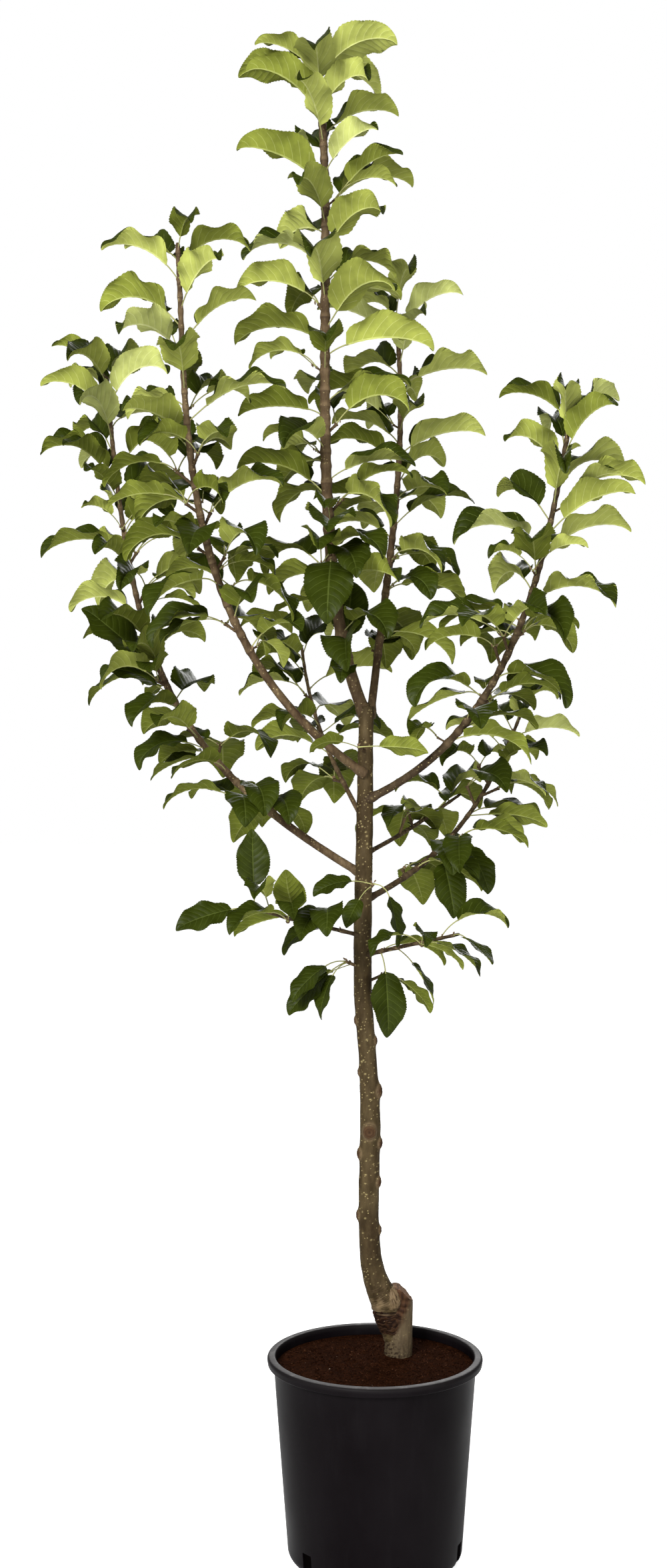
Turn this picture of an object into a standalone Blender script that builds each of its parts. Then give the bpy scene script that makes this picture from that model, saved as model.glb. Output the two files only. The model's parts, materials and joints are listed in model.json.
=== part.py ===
# A young apple tree in a black nursery pot: pot, compost, grafted trunk, boughs and leafy shoots.
# Metres, +Z up. The origin is the middle of the pot's flat underside, and -Y faces the viewer.

import math
import random

import bpy
import bmesh
import numpy as np
from mathutils import Matrix, Vector
from mathutils.bvhtree import BVHTree

# Pot: a turned plastic tub with a rolled rim and slots round the foot
POT_HEIGHT = 0.281
RIM_RADIUS = 0.150
RIM_DEPTH = 0.013
COLLAR_RADIUS = 0.1405
FOOT_RADIUS = 0.1215
FOOT_ROUNDING = 0.012
POT_WALL = 0.0022
POT_FACETS = 48
SLOT_COUNT = 6
SLOT_WIDTH = 0.018
SLOT_HEIGHT = 0.034
SLOT_REACH = 0.040
FIRST_SLOT_BEARING = -50.0

# Compost: fills the pot to a finger's width under the rim
SOIL_TOP = 0.266
GAP = 0.0003

# Trunk: a budded rod that leaves its rootstock in an elbow on the left and runs up to a pruned fork
ROOTSTOCK_FOOT = (0.034, 0.045)
ROOTSTOCK_RADIUS = 0.0195
ROOTSTOCK_TOP = 0.366
ROOTSTOCK_SHOULDER = 0.344
ROOTSTOCK_SLOPE = 48.0
ROOTSTOCK_LEAN = 0.03
TRUNK_AXIS = [
    (0.031, 0.045, 0.290), (0.025, 0.044, 0.308), (0.019, 0.042, 0.326), (0.015, 0.040, 0.344),
    (0.006, 0.037, 0.364), (-0.001, 0.035, 0.386), (-0.006, 0.032, 0.420),
    (-0.008, 0.027, 0.490), (-0.006, 0.020, 0.603), (-0.010, 0.015, 0.697), (-0.017, 0.009, 0.810),
    (-0.014, 0.004, 1.029), (-0.012, 0.002, 1.183),
]
TRUNK_GIRTH = [
    (0.290, 0.0170), (0.308, 0.0190), (0.326, 0.0202), (0.344, 0.0210), (0.364, 0.0184),
    (0.386, 0.0160), (0.450, 0.0142), (0.600, 0.0144),
    (0.700, 0.0124), (0.880, 0.0126), (1.030, 0.0116), (1.150, 0.0102), (1.183, 0.0112),
]
TRUNK_SIDES = 10
TRUNK_STATIONS = 30

# Old pruning knobs on the trunk: height, bearing from the viewer's side in degrees, radius
KNOBS = [
    (0.744, -80, 0.0045), (0.716, 80, 0.0050), (0.671, -85, 0.0042), (0.645, 75, 0.0075),
    (0.589, -5, 0.0090), (0.571, 70, 0.0060), (0.556, -75, 0.0065), (0.516, 65, 0.0060),
    (0.468, -85, 0.0060), (0.447, 80, 0.0050),
]

# Leaves
DIVERGENCE = 144.0
TURN_WANDER = 22.0
STALK_WIDTH = 0.0022
ROOT_SINK = 0.0007
RIB_DEPTH = 0.015
THINNEST = 0.0012
CAD_STATIONS = (0.0, 0.30, 0.70, 1.0)
NAMED_STALK = 0.030
NAMED_HALF_WIDTH = 0.30
NAMED_FOLD = 10.0
STALK_STEPS = 3
BLADE_STEPS = 12
BLADE_ARCH = 1.1
TEST_STATIONS = (0.0, 0.2, 0.4, 0.6, 0.8, 1.0)
SPACE_MARGIN = 0.003
LIMB_MARGIN = 0.004
LEAF_MARGIN = 0.012
BLADE_MARGIN = 0.0015
SWINGS = (0, 14, -14, 28, -28, 42, -42, 56, -56, 70, -70)
NAMED_SWINGS = (0, 10, -10, 20, -20, 30, -30)
FIRST_LEAF = 0.010
LAST_LEAF = 0.002
SPURS_END = 0.65
ROSETTE = 3
SPUR_LEAF = 0.94
DRAWS = 8
TRUNK_ROOM = 0.018
UP = np.array([0.0, 0.0, 1.0])

# Meshing
WELD = 0.00005
FLAT_ANGLE = 0.2
BOUGH_SIDES = 8
BOUGH_STATIONS = 6
STEM_SIDES = 6
STEM_STEP = 0.055
SAW_SPARE = 0.02
TWIG_RADII = (0.0024, 0.0020)
TWIG_PAST = 0.0015


class Limb:
    """One bough and the leafy shoot that grows on from its tip, along one cubic curve."""

    def __init__(self, foot, elbow, shoulder, tip, radii, bare, leaf, gap=0, spurs=0, seed=0, phase=0,
                 named=(), bough=True):
        self.points = np.array([foot, elbow, shoulder, tip])
        self.radii = radii
        self.bare = bare
        self.leaf = leaf
        self.gap = gap
        self.spurs = spurs
        self.seed = seed
        self.phase = phase
        self.named = named
        self.bough = bough

    def at(self, t):
        t = np.asarray(t, float)[..., None]
        foot, elbow, shoulder, tip = self.points
        return (1 - t)**3 * foot + 3 * (1 - t)**2 * t * elbow + 3 * (1 - t) * t * t * shoulder + t**3 * tip

    def radius(self, t):
        return self.radii[0] + (self.radii[1] - self.radii[0]) * t


# Each named leaf: place along the shoot, compass bearing, rise of the stalk, slope of the blade at
# its base and at its tip, roll about its rib (all in degrees), blade length
LIMBS = {
    "leader": Limb(
        (-.012, .004, 1.170), (-.110, -.005, 1.380), (-.044, .000, 1.860), (-.082, .000, 2.070),
        radii=(.0088, .0045), bare=.06, leaf=.112, gap=.0215, spurs=.28, seed=552, phase=75,
        named=[(.215, -93, 35, -30, -88, 0, .114), (.06, 80, 78, 68, 60, 0, .092),
               (.975, -15, 60, 46, -29, 36, .107), (.95, 168, 55, 36, -24, -36, .103)]),
    "second_leader": Limb(
        (-.006, .006, 1.168), (.020, .060, 1.400), (.055, .140, 1.550), (.035, .165, 1.770),
        radii=(.0058, .0030), bare=.12, leaf=.106, gap=.0220, spurs=.28, seed=801, phase=315),
    "left_inner": Limb(
        (-.013, -.006, 1.088), (-.280, -.060, 1.270), (-.250, -.130, 1.560), (-.262, -.150, 1.785),
        radii=(.0062, .0030), bare=.26, leaf=.104, gap=.0210, spurs=.35, seed=742, phase=180),
    "left_outer": Limb(
        (-.016, .008, .948), (-.304, .055, 1.118), (-.352, .120, 1.250), (-.392, .140, 1.675),
        radii=(.0058, .0028), bare=.16, leaf=.104, gap=.0220, spurs=.25, seed=981, phase=225,
        named=[(.45, 190, 30, 42, 40, 65, .112), (.37, 195, 42, 35, 0, 50, .082)]),
    "right": Limb(
        (-.012, -.002, 1.053), (.195, -.050, 1.146), (.225, -.120, 1.380), (.253, -.150, 1.555),
        radii=(.0058, .0028), bare=.20, leaf=.106, gap=.0205, spurs=.30, seed=143, phase=150),
    "right_low": Limb(
        (-.013, .008, .913), (.082, .062, .956), (.160, .138, 1.023), (.222, .160, 1.185),
        radii=(.0045, .0022), bare=.18, leaf=.094, gap=.0195, spurs=.35, seed=717, phase=300,
        named=[(.26, -70, -15, -55, -82, 0, .084), (.36, -35, -10, -45, -75, -30, .078),
               (.50, -5, 5, 5, -30, 45, .088)]),
    "right_mid": Limb(
        (-.012, .008, .978), (.046, .073, 1.005), (.074, .148, 1.021), (.133, .190, 1.060),
        radii=(.0034, .0020), bare=.28, leaf=.088, gap=.0200, spurs=.30, seed=155, phase=45),
    "low_right": Limb(
        (-.014, .004, .836), (.016, -.030, .847), (.080, -.060, .863), (.113, -.075, .872),
        radii=(.0032, .0020), bare=.15, leaf=.078, gap=.0300, spurs=.30, seed=299, phase=180,
        bough=False,
        named=[(.06, -60, -50, -80, -92, 0, .092), (.25, -20, -30, -50, -72, 10, .066),
               (.90, -60, 20, -20, -30, 30, .070)]),
    "low_left": Limb(
        (-.014, .004, .862), (-.080, -.030, .882), (-.120, -.075, .890), (-.167, -.095, .911),
        radii=(.0030, .0019), bare=.12, leaf=.078, gap=.0300, spurs=.30, seed=58, phase=330,
        bough=False,
        named=[(.98, 195, 0, -10, -30, 55, .080), (.97, 100, 60, 75, 95, 0, .078),
               (.45, 250, 40, 30, 80, -20, .074)]),
    "left_mid": Limb(
        (-.014, .010, 1.020), (-.060, .070, 1.110), (-.090, .140, 1.157), (-.105, .170, 1.280),
        radii=(.0036, .0020), bare=.20, leaf=.096, gap=.0200, spurs=.30, seed=319, phase=315),
    "spur_left": Limb(
        (-.015, .008, .818), (-.022, .004, .820), (-.030, .000, .823), (-.042, -.008, .829),
        radii=(.0024, .0018), bare=.40, leaf=.072, bough=False,
        named=[(.95, 200, 10, -30, -55, 30, .070), (.80, 215, -10, -55, -85, -10, .066),
               (.90, 175, -25, -40, -50, 60, .082), (.50, 160, -20, -20, -35, -30, .048)]),
    "spur_right": Limb(
        (-.015, .010, .797), (-.004, .026, .799), (.004, .032, .802), (.014, .038, .806),
        radii=(.0024, .0018), bare=.50, leaf=.072, bough=False,
        named=[(.90, 0, 0, -35, -60, 40, .062), (.60, 30, 5, -30, -40, -40, .040)]),
    "spur_high": Limb(
        (-.014, .006, .925), (-.010, -.010, .928), (-.006, -.022, .932), (-.002, -.030, .938),
        radii=(.0024, .0018), bare=.50, leaf=.076, bough=False,
        named=[(.95, -25, 0, -70, -88, 0, .072), (.50, 225, -20, -50, -60, 40, .046),
               (.80, 190, 20, 0, -40, 45, .060)]),
    "spur_fork": Limb(
        (-.012, .003, 1.120), (-.016, -.012, 1.122), (-.020, -.022, 1.124), (-.024, -.030, 1.126),
        radii=(.0024, .0018), bare=.50, leaf=.076, bough=False,
        named=[(.95, -15, 5, 0, -15, 55, .070), (.60, 215, 20, 10, -40, -50, .060)]),
}


def mix(low, high, t):
    return low + (high - low) * t


def tilted(heading, angle):
    """The direction that points along a level heading and rises from it by an angle."""
    return heading * math.cos(angle) + UP * math.sin(angle)


def nearest(points, others):
    """The distance from each point to the closest of the others."""
    return np.sqrt(((points[:, None] - others[None])**2).sum(2)).min(1)


def blade_share(s):
    """Half width of a blade at s along its rib, as a share of the widest: full low down, drawn to a point."""
    if s <= 0 or s >= 1:
        return 0.0
    return math.sin(math.pi * s**.82)**.62 * (1 - .35 * max(0, s - .72) / .28)


def leaf_frame(leaf, stations):
    """The stalk's end, then the rib, the two edges and the upward normal of the blade at each station."""
    heading = leaf["heading"]
    point = leaf["root"].copy()
    for i in range(STALK_STEPS):
        rise = mix(leaf["rise"], leaf["lift"], (i + .5) / STALK_STEPS)
        point = point + tilted(heading, rise) * leaf["stalk"] / STALK_STEPS
    fine = [point]
    for i in range(BLADE_STEPS):
        angle = mix(leaf["lift"], leaf["droop"], ((i + .5) / BLADE_STEPS)**BLADE_ARCH)
        fine.append(fine[-1] + tilted(heading, angle) * leaf["blade"] / BLADE_STEPS)
    fine = np.array(fine)
    across = np.cross(heading, UP)
    ribs, lefts, rights, normals = [], [], [], []
    for s in stations:
        rib = np.array([np.interp(s * BLADE_STEPS, range(BLADE_STEPS + 1), fine[:, k]) for k in range(3)])
        angle = mix(leaf["lift"], leaf["droop"], s**BLADE_ARCH)
        flat = UP * math.cos(angle) - heading * math.sin(angle)
        roll = leaf["roll"] * (1 + s) / 2
        side = across * math.cos(roll) + flat * math.sin(roll)
        normal = flat * math.cos(roll) - across * math.sin(roll)
        half = leaf["half"] * blade_share(s)
        ribs.append(rib)
        lefts.append(rib + (side * math.cos(leaf["fold"]) + normal * math.sin(leaf["fold"])) * half)
        rights.append(rib + (-side * math.cos(leaf["fold"]) + normal * math.sin(leaf["fold"])) * half)
        normals.append(normal)
    return np.array(ribs), np.array(lefts), np.array(rights), np.array(normals)


def leaf_grid(leaf):
    """Points spread over a leaf, for the tests that keep it in its own space."""
    ribs, lefts, rights, _ = leaf_frame(leaf, TEST_STATIONS)
    return np.concatenate([ribs, lefts, rights, (ribs + lefts) / 2, (ribs + rights) / 2])


def blade_sheet(leaf):
    """The blade as a folded sheet, to find the blades it would cross."""
    ribs, lefts, rights, _ = leaf_frame(leaf, TEST_STATIONS)
    rows = len(ribs)
    quads = []
    for i in range(rows - 1):
        quads += [(i, i + 1, rows + i + 1, rows + i), (i, i + 1, 2 * rows + i + 1, 2 * rows + i)]
    points = [tuple(p) for p in np.concatenate([ribs, lefts, rights])]
    return BVHTree.FromPolygons(points, quads, epsilon=BLADE_MARGIN)


class Tree:
    """Where every leaf and twig grows: one rule and one seed to a shoot, each in its own space."""

    def __init__(self):
        self.limbs = {name: limb.at(np.linspace(0, 1, 41)) for name, limb in LIMBS.items()}
        self.shoots = {name: limb.at(np.linspace(limb.bare, 1, 33)) for name, limb in LIMBS.items()}
        self.trunk = smooth_line(TRUNK_AXIS, 60)
        self.sheets = {name: [] for name in LIMBS}
        self.named = {name: [] for name in LIMBS}
        for name, limb in LIMBS.items():
            for row in limb.named:
                leaf = self.named_leaf(name, limb, *row)
                if leaf:
                    self.named[name].append(leaf)

    def named_leaf(self, name, limb, t, bearing, rise, lift, droop, roll, blade):
        leaf = dict(
            root=limb.at(mix(limb.bare, 1, t)), stalk=NAMED_STALK, blade=blade,
            half=blade * NAMED_HALF_WIDTH, rise=math.radians(rise), lift=math.radians(lift),
            droop=math.radians(droop), fold=math.radians(NAMED_FOLD), roll=math.radians(roll),
            shade=1.0, age=t)
        leaf = self.fit(name, leaf, bearing, NAMED_SWINGS, kept=True)
        if leaf:
            leaf["grid"] = leaf_grid(leaf)
        return leaf

    def in_own_space(self, name, points):
        """True where every point is nearer to this shoot than to any other."""
        own = nearest(points, self.shoots[name])
        others = [nearest(points, shoot) for other, shoot in self.shoots.items() if other != name]
        return all((away > own + SPACE_MARGIN).all() for away in others)

    def clear_of_limbs(self, name, points):
        if (nearest(points, self.trunk) < TRUNK_ROOM).any():
            return False
        for other, limb in LIMBS.items():
            line = self.limbs[other]
            if other == name:
                line = line[:max(2, int(len(line) * limb.bare))]
            if (nearest(points, line) < limb.radii[0] + LIMB_MARGIN).any():
                return False
        return True

    def clear_of_named(self, name, points):
        rest = [leaf for other, leaves in self.named.items() if other != name for leaf in leaves]
        return all(nearest(points, leaf["grid"]).min() > LEAF_MARGIN for leaf in rest)

    def fit(self, name, leaf, bearing, swings, kept=False):
        """Swings a leaf round until it has room, and skips it where it finds none."""
        for swing in swings:
            turn = math.radians(bearing + swing)
            leaf["heading"] = np.array([math.cos(turn), math.sin(turn), 0.0])
            points = leaf_grid(leaf)
            if not kept and not self.in_own_space(name, points):
                continue
            if not self.clear_of_limbs(name, points[1:]) or not self.clear_of_named(name, points):
                continue
            sheet = blade_sheet(leaf)
            if kept or not any(sheet.overlap(other) for other in self.sheets[name]):
                self.sheets[name].append(sheet)
                return leaf
        return None

    def new_leaf(self, name, root, bearing, t, draws, size=1.0):
        """A leaf by its place on the shoot: old ones hang flat and dark, young ones rise and fold."""
        limb = LIMBS[name]
        shade = .75 * min(1, max(0, 1.05 - 1.25 * t)) + .35 * min(1, max(0, (1.25 - root[2]) / .25))
        shade = min(1, shade)
        young = max(0, (t - .82) / .18)
        blade = limb.leaf * size * mix(.84, 1.13, draws[0]) * mix(1, .82, young) * mix(1.04, .97, shade)
        leaf = dict(
            root=root, blade=blade,
            stalk=mix(.024, .036, draws[1]) * mix(1, .75, young),
            half=blade * mix(.275, .305, shade) * mix(.92, 1.08, draws[2]),
            rise=math.radians(mix(54, 34, shade) + mix(-12, 12, draws[3]) + 8 * young),
            lift=math.radians(mix(42, 0, shade) + mix(-16, 14, draws[4]) * mix(1, 2.0, shade) + 6 * young),
            droop=math.radians(mix(-20, -62, shade) + mix(-26, 22, draws[5])),
            fold=math.radians(mix(46, 14, shade) + mix(-12, 12, draws[6])),
            roll=math.radians(mix(-1, 1, draws[7]) * mix(30, 42, shade)),
            shade=shade, age=t)
        return self.fit(name, leaf, bearing, SWINGS)

    def grow(self, name):
        """All the leaves of one shoot, and the side twigs that carry its rosettes."""
        limb = LIMBS[name]
        rng = random.Random(limb.seed)
        leaves = list(self.named[name])
        twigs = []
        line = limb.at(np.linspace(limb.bare, 1, 200))
        along = np.append(0, np.cumsum(np.sqrt((np.diff(line, axis=0)**2).sum(1))))
        length = along[-1]
        place = FIRST_LEAF
        count = 0
        while limb.gap and place < length - LAST_LEAF:
            t = place / length
            root = on_line(line, along, place)
            axis = on_line(line, along, min(place + .004, length)) - root
            axis = axis / np.linalg.norm(axis)
            east = np.cross(axis, [0, 1, 0])
            east = east / np.linalg.norm(east)
            north = np.cross(axis, east)
            turn = math.radians(limb.phase + count * DIVERGENCE + rng.uniform(-TURN_WANDER, TURN_WANDER))
            outward = east * math.cos(turn) + north * math.sin(turn)
            draws = [rng.random() for _ in range(DRAWS)]
            if rng.random() < limb.spurs and t < SPURS_END:
                self.add_spur(name, root, axis, outward, t, draws, rng, leaves, twigs)
            else:
                level = outward + axis * .7
                leaf = self.new_leaf(name, root, math.degrees(math.atan2(level[1], level[0])), t, draws)
                leaves += [leaf] if leaf else []
            closing = 1 if t < .8 else mix(1, .45, (t - .8) / .2)
            place += limb.gap * closing * (.85 + .3 * rng.random())
            count += 1
        return leaves, twigs

    def add_spur(self, name, root, axis, outward, t, draws, rng, leaves, twigs):
        """A short side twig with a rosette of leaves round its end."""
        way = outward * .75 + axis * .35 + UP * .35
        end = root + way / np.linalg.norm(way) * mix(.012, .035, draws[0])
        room = self.in_own_space(name, end[None])
        if room:
            twigs.append((root, end))
        for i in range(ROSETTE):
            draws = [rng.random() for _ in range(DRAWS)]
            if not room:
                continue
            bearing = math.degrees(math.atan2(outward[1], outward[0])) + 75 * (i - 1) + mix(-20, 20, draws[7])
            leaf = self.new_leaf(name, end, bearing, t, draws, SPUR_LEAF)
            leaves += [leaf] if leaf else []


def smooth_line(points, count):
    """A Catmull-Rom line through the points, read at an even step of its parameter."""
    points = np.array(points)
    points = np.vstack([2 * points[0] - points[1], points, 2 * points[-1] - points[-2]])
    line = []
    for u in np.linspace(0, len(points) - 3, count):
        i = min(int(u), len(points) - 4)
        t = u - i
        a, b, c, d = points[i:i + 4]
        line.append(.5 * (2 * b + (c - a) * t + (2 * a - 5 * b + 4 * c - d) * t**2
                          + (3 * b - a - 3 * c + d) * t**3))
    return np.array(line)


def on_line(line, along, place):
    return np.array([np.interp(place, along, line[:, k]) for k in range(3)])


def start_scene():
    for obj in list(bpy.data.objects):
        bpy.data.objects.remove(obj, do_unlink=True)
    collections = {}
    for name in ("apple_tree", "cutters"):
        collections[name] = bpy.data.collections.new(name)
        bpy.context.scene.collection.children.link(collections[name])
    return collections["apple_tree"], collections["cutters"]


def finish_material(name, colour, roughness):
    material = bpy.data.materials.new(name)
    material.use_nodes = True
    shader = material.node_tree.nodes["Principled BSDF"]
    shader.inputs["Base Color"].default_value = (*colour, 1)
    shader.inputs["Roughness"].default_value = roughness
    shader.inputs["Metallic"].default_value = 0
    return material


def add_mesh(name, bm, collection, material=None):
    """Turns a bmesh into an object, with its faces pointing out."""
    bmesh.ops.recalc_face_normals(bm, faces=bm.faces)
    mesh = bpy.data.meshes.new(name)
    bm.to_mesh(mesh)
    bm.free()
    obj = bpy.data.objects.new(name, mesh)
    collection.objects.link(obj)
    if material:
        mesh.materials.append(material)
    return obj


def add_cutter(name, bm, collection):
    obj = add_mesh(name, bm, collection)
    obj.hide_render = True
    obj.display_type = "WIRE"
    return obj


def tube(centres, radii, sides):
    """A tapering limb as a bmesh: a curve with a bevel and filled caps, its seams welded."""
    curve = bpy.data.curves.new("limb", "CURVE")
    curve.dimensions = "3D"
    curve.bevel_depth = 1.0
    curve.bevel_resolution = (sides - 4) // 2
    curve.use_fill_caps = True
    spline = curve.splines.new("POLY")
    spline.points.add(len(centres) - 1)
    for point, centre, radius in zip(spline.points, centres, radii):
        point.co = (*centre, 1)
        point.radius = radius
    obj = bpy.data.objects.new("limb", curve)
    bpy.context.scene.collection.objects.link(obj)
    depsgraph = bpy.context.evaluated_depsgraph_get()
    mesh = bpy.data.meshes.new_from_object(obj.evaluated_get(depsgraph))
    bm = bmesh.new()
    bm.from_mesh(mesh)
    bmesh.ops.remove_doubles(bm, verts=bm.verts, dist=WELD)
    bpy.data.objects.remove(obj, do_unlink=True)
    bpy.data.meshes.remove(mesh)
    return bm


def keep_one_body(mesh):
    """Drops loose scraps and sealed hollows: only the largest shell stays."""
    bm = bmesh.new()
    bm.from_mesh(mesh)
    todo = set(bm.faces)
    shells = []
    while todo:
        shell = []
        stack = [todo.pop()]
        while stack:
            face = stack.pop()
            shell.append(face)
            for edge in face.edges:
                for other in edge.link_faces:
                    if other in todo:
                        todo.remove(other)
                        stack.append(other)
        shells.append(shell)
    shells.sort(key=len)
    for shell in shells[:-1]:
        bmesh.ops.delete(bm, geom=shell, context="FACES")
    bmesh.ops.delete(bm, geom=[v for v in bm.verts if not v.link_faces], context="VERTS")
    bmesh.ops.dissolve_limit(bm, angle_limit=math.radians(FLAT_ANGLE), verts=bm.verts, edges=bm.edges)
    bmesh.ops.triangulate(bm, faces=bm.faces)
    bm.to_mesh(mesh)
    bm.free()


def combine(obj, others, operation):
    """One Boolean on a collection, applied, with the collection's objects then removed."""
    group = bpy.data.collections.new(obj.name + "_with")
    bpy.context.scene.collection.children.link(group)
    for other in others:
        for owner in list(other.users_collection):
            owner.objects.unlink(other)
        group.objects.link(other)
    modifier = obj.modifiers.new("Combine", "BOOLEAN")
    modifier.operation = operation
    modifier.operand_type = "COLLECTION"
    modifier.collection = group
    modifier.solver = "EXACT"
    depsgraph = bpy.context.evaluated_depsgraph_get()
    mesh = bpy.data.meshes.new_from_object(obj.evaluated_get(depsgraph))
    obj.modifiers.clear()
    keep_one_body(mesh)
    obj.data = mesh
    for other in list(group.objects):
        bpy.data.objects.remove(other, do_unlink=True)
    bpy.data.collections.remove(group)


def shade(obj, angle=40):
    obj.data.shade_smooth()
    obj.data.set_sharp_from_angle(angle=math.radians(angle))


def turned(name, profile, collection, material):
    """A solid of revolution: the profile spun about Z by a Screw."""
    bm = bmesh.new()
    points = [bm.verts.new((radius, 0, height)) for radius, height in profile]
    for a, b in zip(points, points[1:]):
        bm.edges.new((a, b))
    mesh = bpy.data.meshes.new(name)
    bm.to_mesh(mesh)
    bm.free()
    obj = bpy.data.objects.new(name, mesh)
    collection.objects.link(obj)
    mesh.materials.append(material)
    screw = obj.modifiers.new("Turn", "SCREW")
    screw.steps = screw.render_steps = POT_FACETS
    screw.use_merge_vertices = True
    screw.merge_threshold = WELD
    return obj


def arc(centre_radius, centre_height, size, first, last, steps):
    angles = [math.radians(mix(first, last, i / steps)) for i in range(steps + 1)]
    return [(centre_radius + size * math.cos(a), centre_height + size * math.sin(a)) for a in angles]


def inner_wall(clearance):
    """The pot's inside from the middle of its floor to under the rim, set in by a clearance."""
    inset = POT_WALL + clearance
    foot = arc(FOOT_RADIUS - FOOT_ROUNDING, FOOT_ROUNDING, FOOT_ROUNDING - inset, -90, 0, 3)
    return [(0, inset)] + foot


def make_pot(collection, cutters, material):
    rim_base = POT_HEIGHT - RIM_DEPTH
    bead = RIM_DEPTH / 2
    profile = inner_wall(0)
    profile += [(COLLAR_RADIUS - POT_WALL, rim_base - .002)]
    profile += [(RIM_RADIUS - RIM_DEPTH + .001, POT_HEIGHT - .002)]
    profile += arc(RIM_RADIUS - bead, POT_HEIGHT - bead, bead, 90, -80, 5)
    profile += [(COLLAR_RADIUS, rim_base - .003)]
    profile += arc(FOOT_RADIUS - FOOT_ROUNDING, FOOT_ROUNDING, FOOT_ROUNDING, 0, -90, 3)
    profile += [(0, 0)]
    pot = turned("pot", profile, collection, material)
    depsgraph = bpy.context.evaluated_depsgraph_get()
    mesh = bpy.data.meshes.new_from_object(pot.evaluated_get(depsgraph))
    pot.modifiers.clear()
    pot.data = mesh
    slots = []
    for i in range(SLOT_COUNT):
        bearing = math.radians(FIRST_SLOT_BEARING - 90 + i * 360 / SLOT_COUNT)
        bm = bmesh.new()
        bmesh.ops.create_cube(bm, size=1)
        bmesh.ops.scale(bm, vec=(SLOT_REACH, SLOT_WIDTH, 2 * SLOT_HEIGHT), verts=bm.verts)
        bmesh.ops.translate(bm, vec=(FOOT_RADIUS, 0, 0), verts=bm.verts)
        bmesh.ops.rotate(bm, cent=(0, 0, 0), matrix=Matrix.Rotation(bearing, 3, "Z"), verts=bm.verts)
        slots.append(add_cutter("slot", bm, cutters))
    combine(pot, slots, "DIFFERENCE")
    shade(pot)


def make_soil(collection, material):
    edge = (COLLAR_RADIUS - POT_WALL - GAP, POT_HEIGHT - RIM_DEPTH - .002)
    inside = inner_wall(GAP)
    low = inside[-1]
    share = (SOIL_TOP - low[1]) / (edge[1] - low[1])
    top = (mix(low[0], edge[0], share), SOIL_TOP)
    profile = [(0, SOIL_TOP), top] + inside[::-1]
    shade(turned("soil", profile, collection, material))


def trunk_radius(height):
    heights, radii = zip(*TRUNK_GIRTH)
    return float(np.interp(height, heights, radii))


def trunk_tube(extra):
    line = smooth_line(TRUNK_AXIS, TRUNK_STATIONS)
    return tube(line, [trunk_radius(point[2]) + extra for point in line], TRUNK_SIDES)


def rootstock_tube():
    x, y = ROOTSTOCK_FOOT
    heights = [SOIL_TOP - .010, SOIL_TOP + .012, SOIL_TOP + .05, ROOTSTOCK_TOP + .02]
    radii = [ROOTSTOCK_RADIUS + .0015, ROOTSTOCK_RADIUS, ROOTSTOCK_RADIUS - .001, ROOTSTOCK_RADIUS - .0015]
    bm = tube([(x + ROOTSTOCK_LEAN * (z - SOIL_TOP), y, z) for z in heights], radii, 12)
    tilt = math.radians(ROOTSTOCK_SLOPE)
    saw(bm, (x + ROOTSTOCK_RADIUS, y, ROOTSTOCK_SHOULDER), (math.sin(tilt), 0, math.cos(tilt)))
    saw(bm, (x, y, ROOTSTOCK_TOP), (0, 0, 1))
    saw(bm, (x, y, SOIL_TOP + GAP), (0, 0, -1))
    return bm


def make_trunk(collection, material):
    trunk = add_mesh("trunk", trunk_tube(0), collection, material)
    parts = [add_mesh("rootstock", rootstock_tube(), collection)]
    line = smooth_line(TRUNK_AXIS, 200)
    for height, bearing, size in KNOBS:
        centre = line[np.abs(line[:, 2] - height).argmin()]
        turn = math.radians(bearing - 90)
        out = trunk_radius(height) - size * .35
        bm = bmesh.new()
        bmesh.ops.create_icosphere(bm, subdivisions=1, radius=size)
        bmesh.ops.scale(bm, vec=(1, 1, 1.35), verts=bm.verts)
        place = (centre[0] + out * math.cos(turn), centre[1] + out * math.sin(turn), height)
        bmesh.ops.translate(bm, vec=place, verts=bm.verts)
        parts.append(add_mesh("knob", bm, collection))
    combine(trunk, parts, "UNION")
    shade(trunk)


def limb_tube(limb, first, last, sides, stations):
    ts = np.linspace(first, last, stations)
    return tube(limb.at(ts), [limb.radius(t) for t in ts], sides)


def saw(bm, place, way):
    """Cuts a limb off square at a place and keeps the side that the saw's way points from."""
    geometry = bm.verts[:] + bm.edges[:] + bm.faces[:]
    bmesh.ops.bisect_plane(bm, geom=geometry, plane_co=place, plane_no=way, clear_outer=True)
    bmesh.ops.holes_fill(bm, edges=[edge for edge in bm.edges if edge.is_boundary])


def bough_end(limb):
    """Where the bough stops and the leafy shoot goes on, and the limb's way there."""
    way = limb.at(limb.bare + .001) - limb.at(limb.bare)
    return limb.at(limb.bare), way / np.linalg.norm(way)


def make_bough(name, limb, collection, cutters, material):
    bm = limb_tube(limb, 0, limb.bare + SAW_SPARE, BOUGH_SIDES, BOUGH_STATIONS)
    place, way = bough_end(limb)
    saw(bm, place, way)
    bough = add_mesh("bough_" + name, bm, collection, material)
    combine(bough, [add_cutter("trunk_room", trunk_tube(GAP), cutters)], "DIFFERENCE")
    shade(bough)


def make_stem(name, limb, collection, cutters, material):
    """The shoot inside a leaf mass: it starts a hair past its bough, or a hair off the trunk."""
    first = limb.bare - SAW_SPARE if limb.bough else 0
    stations = max(4, round(np.linalg.norm(limb.at(1) - limb.at(first)) / STEM_STEP))
    bm = limb_tube(limb, first, 1, STEM_SIDES, stations)
    if limb.bough:
        place, way = bough_end(limb)
        saw(bm, place + way * GAP, -way)
        return add_mesh("leaves_" + name, bm, collection, material)
    stem = add_mesh("leaves_" + name, bm, collection, material)
    combine(stem, [add_cutter("trunk_room", trunk_tube(GAP), cutters)], "DIFFERENCE")
    return stem


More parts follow.
